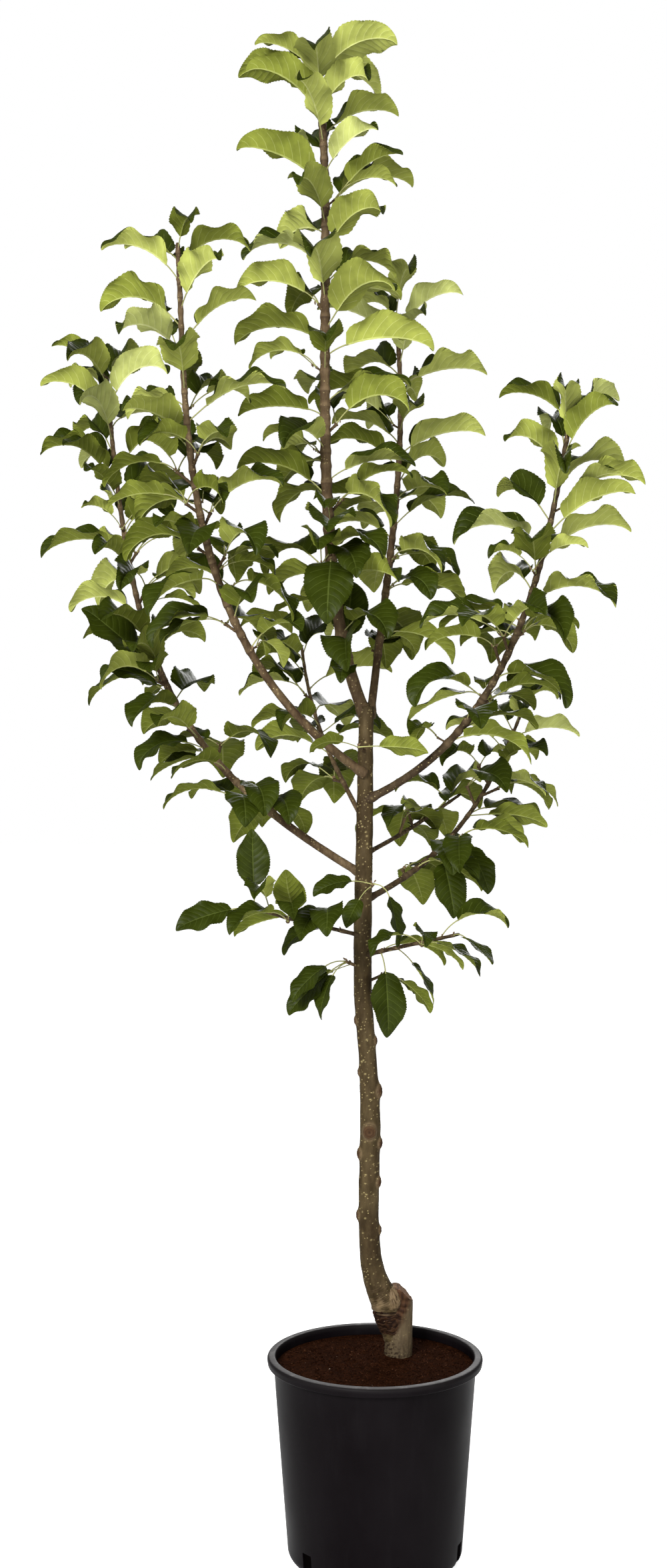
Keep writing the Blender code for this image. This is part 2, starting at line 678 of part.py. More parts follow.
def leaf_solid(leaf):
    """A three-sided stalk and a folded blade with a keel under its rib, lofted through a few stations."""
    ribs, lefts, rights, normals = leaf_frame(leaf, CAD_STATIONS)
    depth = max(THINNEST, leaf["blade"] * RIB_DEPTH) / 2
    across = np.cross(leaf["heading"], UP) * STALK_WIDTH / 2
    bm = bmesh.new()
    rings = []
    sunk = leaf["root"] - tilted(leaf["heading"], leaf["rise"]) * ROOT_SINK
    for centre in (sunk, ribs[0]):
        keel = centre - normals[0] * STALK_WIDTH / 2
        rings.append([bm.verts.new(p) for p in (centre + across, centre - across, keel)])
    for rib, left, right, normal in zip(ribs[1:-1], lefts[1:-1], rights[1:-1], normals[1:-1]):
        rings.append([bm.verts.new(p) for p in (left, rib + normal * depth, right, rib - normal * depth)])
    root, base, first, *others = rings
    tip = bm.verts.new(ribs[-1])
    bm.faces.new(root)
    for i in range(3):
        bm.faces.new((root[i - 1], root[i], base[i], base[i - 1]))
    bm.faces.new((base[0], first[0], first[1]))
    bm.faces.new((base[0], base[1], first[1]))
    bm.faces.new((base[1], first[1], first[2]))
    bm.faces.new((base[1], first[2], first[3], base[2]))
    bm.faces.new((base[2], first[3], first[0], base[0]))
    for low, high in zip([first] + others, others):
        for i in range(4):
            bm.faces.new((low[i - 1], low[i], high[i], high[i - 1]))
    for i in range(4):
        bm.faces.new((rings[-1][i - 1], rings[-1][i], tip))
    bmesh.ops.triangulate(bm, faces=bm.faces)
    return bm


def twig_solid(root, end):
    bm = bmesh.new()
    way = Vector(end - root)
    way.length += TWIG_PAST
    bmesh.ops.create_cone(bm, cap_ends=True, segments=3, radius1=TWIG_RADII[0], radius2=TWIG_RADII[1],
                          depth=way.length)
    bmesh.ops.translate(bm, vec=(0, 0, way.length / 2), verts=bm.verts)
    turn = way.to_track_quat("Z", "Y").to_matrix()
    bmesh.ops.rotate(bm, cent=(0, 0, 0), matrix=turn, verts=bm.verts)
    bmesh.ops.translate(bm, vec=root, verts=bm.verts)
    return bm


def make_leaves(name, limb, tree, collection, cutters, material):
    mass = make_stem(name, limb, collection, cutters, material)
    leaves, twigs = tree.grow(name)
    parts = [add_mesh("leaf", leaf_solid(leaf), collection) for leaf in leaves]
    parts += [add_mesh("twig", twig_solid(*twig), collection) for twig in twigs]
    combine(mass, parts, "UNION")
    return len(leaves)


def main():
    collection, cutters = start_scene()
    plastic = finish_material("black_plastic", (.012, .011, .012), .55)
    peat = finish_material("damp_peat", (.020, .008, .005), .95)
    bark = finish_material("bark", (.090, .060, .030), .75)
    green = finish_material("leaf_green", (.130, .190, .030), .55)
    make_pot(collection, cutters, plastic)
    make_soil(collection, peat)
    make_trunk(collection, bark)
    tree = Tree()
    total = 0
    for name, limb in LIMBS.items():
        if limb.bough:
            make_bough(name, limb, collection, cutters, bark)
        total += make_leaves(name, limb, tree, collection, cutters, green)
    bpy.data.collections.remove(cutters)
    print("leaves", total)


main()
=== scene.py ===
# %% [markdown]
# # A young apple tree in its nursery pot
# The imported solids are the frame: pot, compost, trunk, boughs and leaf masses, all in metres with +Z up
# and the viewer on the -Y side. This script never moves them. It hides each one behind a finer piece that
# stands in the same place, gives every surface its finish, and sets the light and the camera.

# %% Load the frame and note its size
import json
import math
import random

import bpy
import bmesh
import numpy as np
from mathutils import Matrix, Vector, noise
from mathutils.bvhtree import BVHTree

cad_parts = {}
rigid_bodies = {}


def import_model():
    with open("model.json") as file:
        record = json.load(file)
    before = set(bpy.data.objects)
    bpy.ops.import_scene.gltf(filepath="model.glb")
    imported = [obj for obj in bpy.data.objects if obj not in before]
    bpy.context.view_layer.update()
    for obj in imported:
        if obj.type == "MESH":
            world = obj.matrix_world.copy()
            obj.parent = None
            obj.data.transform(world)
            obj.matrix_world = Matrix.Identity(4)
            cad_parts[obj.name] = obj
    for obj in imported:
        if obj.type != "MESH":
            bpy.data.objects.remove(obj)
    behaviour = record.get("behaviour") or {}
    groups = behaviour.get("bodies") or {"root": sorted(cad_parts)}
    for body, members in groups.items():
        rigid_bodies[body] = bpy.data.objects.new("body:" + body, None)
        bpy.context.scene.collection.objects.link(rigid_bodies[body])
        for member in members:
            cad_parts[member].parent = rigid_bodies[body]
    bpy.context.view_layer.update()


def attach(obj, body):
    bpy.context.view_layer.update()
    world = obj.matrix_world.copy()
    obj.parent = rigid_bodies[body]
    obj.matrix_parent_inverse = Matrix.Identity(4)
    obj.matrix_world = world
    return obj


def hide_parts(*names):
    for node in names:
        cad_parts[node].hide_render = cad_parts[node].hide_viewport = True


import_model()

# %% [markdown]
# ## Camera
# The photograph was taken level, from about two and a half metres away and a metre up: the rim of the pot
# is seen as a full ellipse, while the top leaves are seen from below. The lens is worked out from the
# photograph's height in pixels and the focal length in pixels that fits the rim and the pot's foot.

# %% Set the camera
PHOTO_HEIGHT_PX = 2352
FOCAL_PX = 2733
SENSOR_MM = 36.0
CAMERA_PLACE = (-0.0576, -2.54, 1.075)

camera_data = bpy.data.cameras.new("camera")
camera_data.sensor_width = SENSOR_MM
camera_data.lens = FOCAL_PX * SENSOR_MM / PHOTO_HEIGHT_PX
camera = bpy.data.objects.new("camera", camera_data)
camera.location = CAMERA_PLACE
camera.rotation_euler = (math.radians(90), 0, 0)
bpy.context.scene.collection.objects.link(camera)
bpy.context.scene.camera = camera
print("lens, mm:", round(camera_data.lens, 2))

# %% [markdown]
# ## Light and floor
# The photograph is a studio cut-out on white. Leaves that turn their underside to the viewer are the
# brightest and leaves seen edge-on are dim, so most of the light comes from the front and a little above;
# the rest is soft light from all round. A dim pale world and large area lights do that. World and floor
# show white to the camera whatever they shed, so that no horizon shows behind the tree.

# %% Set the world, the lights and the floor
WORLD_SHINE = 0.36
FLOOR_SHINE = 0.66
FLOOR_SIZE = 60.0
LIGHTS = {
    "key": dict(place=(-1.7, -3.5, 2.9), aim=(0, 0, 1.2), size=1.5, watts=300),
    "fill": dict(place=(3.0, -2.6, 1.8), aim=(0, 0, 1.2), size=2.0, watts=40),
    "low": dict(place=(.3, -3.6, .9), aim=(0, 0, 1.4), size=1.6, watts=45),
    "back": dict(place=(.8, 3.4, 2.6), aim=(0, 0, 1.2), size=2.2, watts=85),
}


def add_light(name, place, aim, size, watts):
    data = bpy.data.lights.new(name, "AREA")
    data.energy = watts
    data.size = size
    light = bpy.data.objects.new(name, data)
    light.location = place
    light.rotation_euler = (Vector(aim) - Vector(place)).to_track_quat("-Z", "Y").to_euler()
    bpy.context.scene.collection.objects.link(light)


def plain_material(name, colour, roughness, shine=.3):
    """A Principled surface with its colour, roughness and shine set straight on the sockets."""
    material = bpy.data.materials.new(name)
    material.use_nodes = True
    shader = material.node_tree.nodes["Principled BSDF"]
    shader.inputs["Base Color"].default_value = (*colour, 1)
    shader.inputs["Roughness"].default_value = roughness
    shader.inputs["Specular IOR Level"].default_value = shine
    return material


def shine_for_camera(node_tree, strength, shed, seen):
    """One strength for the light that is shed, another for what the camera sees."""
    path = node_tree.nodes.new("ShaderNodeLightPath")
    mixed = node_tree.nodes.new("ShaderNodeMix")
    mixed.inputs["A"].default_value = shed
    mixed.inputs["B"].default_value = seen
    node_tree.links.new(path.outputs["Is Camera Ray"], mixed.inputs["Factor"])
    node_tree.links.new(mixed.outputs["Result"], strength)


for name, light in LIGHTS.items():
    add_light(name, **light)

world = bpy.data.worlds.new("studio")
world.use_nodes = True
bpy.context.scene.world = world
sky = world.node_tree.nodes["Background"]
sky.inputs["Color"].default_value = (1, 1, 1, 1)
shine_for_camera(world.node_tree, sky.inputs["Strength"], WORLD_SHINE, 1.0)
bpy.context.scene.view_settings.view_transform = "Standard"

bm = bmesh.new()
bmesh.ops.create_grid(bm, x_segments=1, y_segments=1, size=FLOOR_SIZE / 2)
mesh = bpy.data.meshes.new("floor")
bm.to_mesh(mesh)
bm.free()
floor = bpy.data.objects.new("floor", mesh)
bpy.context.scene.collection.objects.link(floor)
table = plain_material("pale_floor", (.985, .985, .985), .9, 0)
table_shader = table.node_tree.nodes["Principled BSDF"]
table_shader.inputs["Emission Color"].default_value = (1, 1, 1, 1)
shine_for_camera(table.node_tree, table_shader.inputs["Emission Strength"], 0, FLOOR_SHINE)
mesh.materials.append(table)
print("lights:", len(LIGHTS))

# %% [markdown]
# ## Helpers for pieces and finishes
# Every finished piece sits at the origin with its place in its mesh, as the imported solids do, and rides on
# the one body. A finish is a Principled shader; where the real surface varies, a few noise textures read
# the piece's Object coordinates, so that a pattern stays put on the piece.

# %% Define the helpers


def add_piece(name, mesh, replaced=(), smooth=True):
    """Puts a mesh in the scene as a piece of the tree."""
    piece = bpy.data.objects.new(name, mesh)
    bpy.context.scene.collection.objects.link(piece)
    if smooth:
        mesh.shade_smooth()
    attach(piece, "root")
    if replaced:
        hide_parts(*replaced)
    print(name, "faces:", len(mesh.polygons))
    return piece


def mesh_from_bmesh(name, bm):
    mesh = bpy.data.meshes.new(name)
    bm.to_mesh(mesh)
    bm.free()
    return mesh


def mesh_from_arrays(name, points, corners, sizes, slots, materials):
    """One mesh from numpy arrays: points, the corners of all faces in a row, and each face's size and slot."""
    mesh = bpy.data.meshes.new(name)
    mesh.vertices.add(len(points))
    mesh.vertices.foreach_set("co", np.ascontiguousarray(points, np.float32).ravel())
    mesh.loops.add(len(corners))
    mesh.loops.foreach_set("vertex_index", np.ascontiguousarray(corners, np.int32))
    mesh.polygons.add(len(sizes))
    starts = np.append(0, np.cumsum(sizes)[:-1])
    mesh.polygons.foreach_set("loop_start", starts.astype(np.int32))
    for material in materials:
        mesh.materials.append(material)
    mesh.polygons.foreach_set("material_index", np.ascontiguousarray(slots, np.int32))
    mesh.update(calc_edges=True)
    mesh.validate()
    return mesh


def scatter(pattern, places):
    """Joins many copies of one small pattern: pattern is (points, faces), places are (matrix, slot) pairs."""
    points, faces = pattern
    sizes = np.array([len(face) for face in faces])
    corners = np.concatenate(faces)
    all_points = [points @ np.array(matrix.to_3x3()).T + np.array(matrix.translation) for matrix, _ in places]
    count = len(points)
    all_corners = [corners + i * count for i in range(len(places))]
    slots = np.concatenate([np.full(len(sizes), slot) for _, slot in places])
    return np.concatenate(all_points), np.concatenate(all_corners), np.tile(sizes, len(places)), slots


def pattern_of(bm):
    """The points and faces of a small shape, for scatter."""
    bm.verts.ensure_lookup_table()
    points = np.array([v.co for v in bm.verts])
    faces = [np.array([v.index for v in face.verts]) for face in bm.faces]
    bm.free()
    return points, faces


def node(tree, kind, **inputs):
    """Adds a shader node and sets its unlinked inputs by name."""
    made = tree.nodes.new(kind)
    for name, value in inputs.items():
        made.inputs[name.replace("_", " ")].default_value = value
    return made


def noise_on(tree, scale, detail=4.0, stretch=(1, 1, 1), roughness=.55):
    """A noise texture on the piece's own Object coordinates."""
    place = tree.nodes.new("ShaderNodeTexCoord")
    mapping = tree.nodes.new("ShaderNodeMapping")
    mapping.inputs["Scale"].default_value = stretch
    texture = node(tree, "ShaderNodeTexNoise", Scale=scale, Detail=detail, Roughness=roughness)
    tree.links.new(place.outputs["Object"], mapping.inputs["Vector"])
    tree.links.new(mapping.outputs["Vector"], texture.inputs["Vector"])
    return texture.outputs["Fac"]


def spread(tree, value, low, high, to_low=0.0, to_high=1.0):
    """Maps a range of a texture's values onto another, with the ends held."""
    made = tree.nodes.new("ShaderNodeMapRange")
    for name, number in (("From Min", low), ("From Max", high), ("To Min", to_low), ("To Max", to_high)):
        made.inputs[name].default_value = number
    tree.links.new(value, made.inputs["Value"])
    return made.outputs["Result"]


def blend_colours(tree, share, first, second):
    """Mixes two colours, or two colour outputs, by a share from 0 to 1."""
    made = tree.nodes.new("ShaderNodeMix")
    made.data_type = "RGBA"
    tree.links.new(share, made.inputs["Factor"])
    for name, colour in (("A", first), ("B", second)):
        socket = next(s for s in made.inputs if s.name == name and s.type == "RGBA")
        if isinstance(colour, tuple):
            socket.default_value = (*colour, 1)
        else:
            tree.links.new(colour, socket)
    return next(s for s in made.outputs if s.type == "RGBA")


def add_bump(tree, shader, height, distance, strength=1.0):
    bump = tree.nodes.new("ShaderNodeBump")
    bump.inputs["Strength"].default_value = strength
    bump.inputs["Distance"].default_value = distance
    tree.links.new(height, bump.inputs["Height"])
    tree.links.new(bump.outputs["Normal"], shader.inputs["Normal"])


def mix(low, high, t):
    return low + (high - low) * t


print("helpers ready")

# %% [markdown]
# ## The limbs, from the same named sizes as the solids
# The solids were worked out from a few curves: the trunk's axis and girth, and one cubic curve for each
# bough with the leafy shoot that grows on from its tip. The numbers are written here again, because this
# script reads nothing but the frame, and they give the same limbs in the same places.

# %% Name the sizes of trunk and limbs
# Pot: a turned plastic tub with a rolled rim and slots round the foot
POT_HEIGHT = 0.281
RIM_RADIUS = 0.150
RIM_DEPTH = 0.013
COLLAR_RADIUS = 0.1405
FOOT_RADIUS = 0.1215
FOOT_ROUNDING = 0.012
POT_WALL = 0.0022
SLOT_COUNT = 6
SLOT_WIDTH = 0.018
SLOT_HEIGHT = 0.034
SLOT_REACH = 0.040
FIRST_SLOT_BEARING = -50.0

# Compost: fills the pot to a finger's width under the rim
SOIL_TOP = 0.266
GAP = 0.0003

# Trunk: a budded rod that leaves its rootstock in an elbow on the left and runs up to a pruned fork
ROOTSTOCK_FOOT = (0.034, 0.045)
ROOTSTOCK_RADIUS = 0.0195
ROOTSTOCK_TOP = 0.366
ROOTSTOCK_SHOULDER = 0.344
ROOTSTOCK_SLOPE = 48.0
ROOTSTOCK_LEAN = 0.03
TRUNK_AXIS = [
    (0.031, 0.045, 0.290), (0.025, 0.044, 0.308), (0.019, 0.042, 0.326), (0.015, 0.040, 0.344),
    (0.006, 0.037, 0.364), (-0.001, 0.035, 0.386), (-0.006, 0.032, 0.420),
    (-0.008, 0.027, 0.490), (-0.006, 0.020, 0.603), (-0.010, 0.015, 0.697), (-0.017, 0.009, 0.810),
    (-0.014, 0.004, 1.029), (-0.012, 0.002, 1.183),
]
TRUNK_GIRTH = [
    (0.290, 0.0170), (0.308, 0.0190), (0.326, 0.0202), (0.344, 0.0210), (0.364, 0.0184),
    (0.386, 0.0160), (0.450, 0.0142), (0.600, 0.0144),
    (0.700, 0.0124), (0.880, 0.0126), (1.030, 0.0116), (1.150, 0.0102), (1.183, 0.0112),
]

# Old pruning knobs on the trunk: height, bearing from the viewer's side in degrees, radius
KNOBS = [
    (0.744, -80, 0.0045), (0.716, 80, 0.0050), (0.671, -85, 0.0042), (0.645, 75, 0.0075),
    (0.589, -5, 0.0090), (0.571, 70, 0.0060), (0.556, -75, 0.0065), (0.516, 65, 0.0060),
    (0.468, -85, 0.0060), (0.447, 80, 0.0050),
]

# Leaves
DIVERGENCE = 144.0
TURN_WANDER = 22.0
NAMED_STALK = 0.030
NAMED_HALF_WIDTH = 0.30
NAMED_FOLD = 10.0
STALK_STEPS = 3
BLADE_STEPS = 12
BLADE_ARCH = 1.1
TEST_STATIONS = (0.0, 0.2, 0.4, 0.6, 0.8, 1.0)
SPACE_MARGIN = 0.003
LIMB_MARGIN = 0.004
LEAF_MARGIN = 0.012
BLADE_MARGIN = 0.0015
SWINGS = (0, 14, -14, 28, -28, 42, -42, 56, -56, 70, -70)
NAMED_SWINGS = (0, 10, -10, 20, -20, 30, -30)
FIRST_LEAF = 0.010
LAST_LEAF = 0.002
SPURS_END = 0.65
ROSETTE = 3
SPUR_LEAF = 0.94
DRAWS = 8
TRUNK_ROOM = 0.018
UP = np.array([0.0, 0.0, 1.0])
OLD_WOOD = ("right", "right_low", "right_mid", "low_right", "low_left")


class Limb:
    """One bough and the leafy shoot that grows on from its tip, along one cubic curve."""

    def __init__(self, foot, elbow, shoulder, tip, radii, bare, leaf, gap=0, spurs=0, seed=0, phase=0,
                 named=(), bough=True):
        self.points = np.array([foot, elbow, shoulder, tip])
        self.radii = radii
        self.bare = bare
        self.leaf = leaf
        self.gap = gap
        self.spurs = spurs
        self.seed = seed
        self.phase = phase
        self.named = named
        self.bough = bough

    def at(self, t):
        t = np.asarray(t, float)[..., None]
        foot, elbow, shoulder, tip = self.points
        return (1 - t)**3 * foot + 3 * (1 - t)**2 * t * elbow + 3 * (1 - t) * t * t * shoulder + t**3 * tip

    def radius(self, t):
        return self.radii[0] + (self.radii[1] - self.radii[0]) * t


# Each named leaf: place along the shoot, compass bearing, rise of the stalk, slope of the blade at
# its base and at its tip, roll about its rib (all in degrees), blade length
LIMBS = {
    "leader": Limb(
        (-.012, .004, 1.170), (-.110, -.005, 1.380), (-.044, .000, 1.860), (-.082, .000, 2.070),
        radii=(.0088, .0045), bare=.06, leaf=.112, gap=.0215, spurs=.28, seed=552, phase=75,
        named=[(.215, -93, 35, -30, -88, 0, .114), (.06, 80, 78, 68, 60, 0, .092),
               (.975, -15, 60, 46, -29, 36, .107), (.95, 168, 55, 36, -24, -36, .103)]),
    "second_leader": Limb(
        (-.006, .006, 1.168), (.020, .060, 1.400), (.055, .140, 1.550), (.035, .165, 1.770),
        radii=(.0058, .0030), bare=.12, leaf=.106, gap=.0220, spurs=.28, seed=801, phase=315),
    "left_inner": Limb(
        (-.013, -.006, 1.088), (-.280, -.060, 1.270), (-.250, -.130, 1.560), (-.262, -.150, 1.785),
        radii=(.0062, .0030), bare=.26, leaf=.104, gap=.0210, spurs=.35, seed=742, phase=180),
    "left_outer": Limb(
        (-.016, .008, .948), (-.304, .055, 1.118), (-.352, .120, 1.250), (-.392, .140, 1.675),
        radii=(.0058, .0028), bare=.16, leaf=.104, gap=.0220, spurs=.25, seed=981, phase=225,
        named=[(.45, 190, 30, 42, 40, 65, .112), (.37, 195, 42, 35, 0, 50, .082)]),
    "right": Limb(
        (-.012, -.002, 1.053), (.195, -.050, 1.146), (.225, -.120, 1.380), (.253, -.150, 1.555),
        radii=(.0058, .0028), bare=.20, leaf=.106, gap=.0205, spurs=.30, seed=143, phase=150),
    "right_low": Limb(
        (-.013, .008, .913), (.082, .062, .956), (.160, .138, 1.023), (.222, .160, 1.185),
        radii=(.0045, .0022), bare=.18, leaf=.094, gap=.0195, spurs=.35, seed=717, phase=300,
        named=[(.26, -70, -15, -55, -82, 0, .084), (.36, -35, -10, -45, -75, -30, .078),
               (.50, -5, 5, 5, -30, 45, .088)]),
    "right_mid": Limb(
        (-.012, .008, .978), (.046, .073, 1.005), (.074, .148, 1.021), (.133, .190, 1.060),
        radii=(.0034, .0020), bare=.28, leaf=.088, gap=.0200, spurs=.30, seed=155, phase=45),
    "low_right": Limb(
        (-.014, .004, .836), (.016, -.030, .847), (.080, -.060, .863), (.113, -.075, .872),
        radii=(.0032, .0020), bare=.15, leaf=.078, gap=.0300, spurs=.30, seed=299, phase=180,
        bough=False,
        named=[(.06, -60, -50, -80, -92, 0, .092), (.25, -20, -30, -50, -72, 10, .066),
               (.90, -60, 20, -20, -30, 30, .070)]),
    "low_left": Limb(
        (-.014, .004, .862), (-.080, -.030, .882), (-.120, -.075, .890), (-.167, -.095, .911),
        radii=(.0030, .0019), bare=.12, leaf=.078, gap=.0300, spurs=.30, seed=58, phase=330,
        bough=False,
        named=[(.98, 195, 0, -10, -30, 55, .080), (.97, 100, 60, 75, 95, 0, .078),
               (.45, 250, 40, 30, 80, -20, .074)]),
    "left_mid": Limb(
        (-.014, .010, 1.020), (-.060, .070, 1.110), (-.090, .140, 1.157), (-.105, .170, 1.280),
        radii=(.0036, .0020), bare=.20, leaf=.096, gap=.0200, spurs=.30, seed=319, phase=315),
    "spur_left": Limb(
        (-.015, .008, .818), (-.022, .004, .820), (-.030, .000, .823), (-.042, -.008, .829),
        radii=(.0024, .0018), bare=.40, leaf=.072, bough=False,
        named=[(.95, 200, 10, -30, -55, 30, .070), (.80, 215, -10, -55, -85, -10, .066),
               (.90, 175, -25, -40, -50, 60, .082), (.50, 160, -20, -20, -35, -30, .048)]),
    "spur_right": Limb(
        (-.015, .010, .797), (-.004, .026, .799), (.004, .032, .802), (.014, .038, .806),
        radii=(.0024, .0018), bare=.50, leaf=.072, bough=False,
        named=[(.90, 0, 0, -35, -60, 40, .062), (.60, 30, 5, -30, -40, -40, .040)]),
    "spur_high": Limb(
        (-.014, .006, .925), (-.010, -.010, .928), (-.006, -.022, .932), (-.002, -.030, .938),
        radii=(.0024, .0018), bare=.50, leaf=.076, bough=False,
        named=[(.95, -25, 0, -70, -88, 0, .072), (.50, 225, -20, -50, -60, 40, .046),
               (.80, 190, 20, 0, -40, 45, .060)]),
    "spur_fork": Limb(
        (-.012, .003, 1.120), (-.016, -.012, 1.122), (-.020, -.022, 1.124), (-.024, -.030, 1.126),
        radii=(.0024, .0018), bare=.50, leaf=.076, bough=False,
        named=[(.95, -15, 5, 0, -15, 55, .070), (.60, 215, 20, 10, -40, -50, .060)]),
}

print("limbs:", len(LIMBS))

# %% [markdown]
# ## Where the leaves grow
# An apple sets its leaves in a spiral, five to two turns, closer together near the tip of a shoot. Old
# leaves low down hang flat and dark, partly in their own deeper green and partly as painted shade from the
# rule's measure of shade; young ones high up rise on their stalks and fold along the rib. One seed and one
# rule to a shoot give all of them. A leaf is swung round until it is nearer to its own shoot than to any
# other, clear of the limbs and crossing no other blade, and is skipped if there is no room. The rule and its
# order of random draws are those of the solids, so every leaf stands where its solid does.

# %% Grow the tree by its rule
def tilted(heading, angle):
    """The direction that points along a level heading and rises from it by an angle."""
    return heading * math.cos(angle) + UP * math.sin(angle)


def nearest(points, others):
    """The distance from each point to the closest of the others."""
    return np.sqrt(((points[:, None] - others[None])**2).sum(2)).min(1)


def blade_share(s):
    """Half width of a blade at s along its rib, as a share of the widest: full low down, drawn to a point."""
    if s <= 0 or s >= 1:
        return 0.0
    return math.sin(math.pi * s**.82)**.62 * (1 - .35 * max(0, s - .72) / .28)


def leaf_frame(leaf, stations):
    """The stalk's end, then the rib, the two edges and the upward normal of the blade at each station."""
    heading = leaf["heading"]
    point = leaf["root"].copy()
    for i in range(STALK_STEPS):
        rise = mix(leaf["rise"], leaf["lift"], (i + .5) / STALK_STEPS)
        point = point + tilted(heading, rise) * leaf["stalk"] / STALK_STEPS
    fine = [point]
    for i in range(BLADE_STEPS):
        angle = mix(leaf["lift"], leaf["droop"], ((i + .5) / BLADE_STEPS)**BLADE_ARCH)
        fine.append(fine[-1] + tilted(heading, angle) * leaf["blade"] / BLADE_STEPS)
    fine = np.array(fine)
    across = np.cross(heading, UP)
    ribs, lefts, rights, normals = [], [], [], []
    for s in stations:
        rib = np.array([np.interp(s * BLADE_STEPS, range(BLADE_STEPS + 1), fine[:, k]) for k in range(3)])
        angle = mix(leaf["lift"], leaf["droop"], s**BLADE_ARCH)
        flat = UP * math.cos(angle) - heading * math.sin(angle)
        roll = leaf["roll"] * (1 + s) / 2
        side = across * math.cos(roll) + flat * math.sin(roll)
        normal = flat * math.cos(roll) - across * math.sin(roll)
        half = leaf["half"] * blade_share(s)
        ribs.append(rib)
        lefts.append(rib + (side * math.cos(leaf["fold"]) + normal * math.sin(leaf["fold"])) * half)
        rights.append(rib + (-side * math.cos(leaf["fold"]) + normal * math.sin(leaf["fold"])) * half)
        normals.append(normal)
    return np.array(ribs), np.array(lefts), np.array(rights), np.array(normals)


def leaf_grid(leaf):
    """Points spread over a leaf, for the tests that keep it in its own space."""
    ribs, lefts, rights, _ = leaf_frame(leaf, TEST_STATIONS)
    return np.concatenate([ribs, lefts, rights, (ribs + lefts) / 2, (ribs + rights) / 2])


def blade_sheet(leaf):
    """The blade as a folded sheet, to find the blades it would cross."""
    ribs, lefts, rights, _ = leaf_frame(leaf, TEST_STATIONS)
    rows = len(ribs)
    quads = []
    for i in range(rows - 1):
        quads += [(i, i + 1, rows + i + 1, rows + i), (i, i + 1, 2 * rows + i + 1, 2 * rows + i)]
    points = [tuple(p) for p in np.concatenate([ribs, lefts, rights])]
    return BVHTree.FromPolygons(points, quads, epsilon=BLADE_MARGIN)


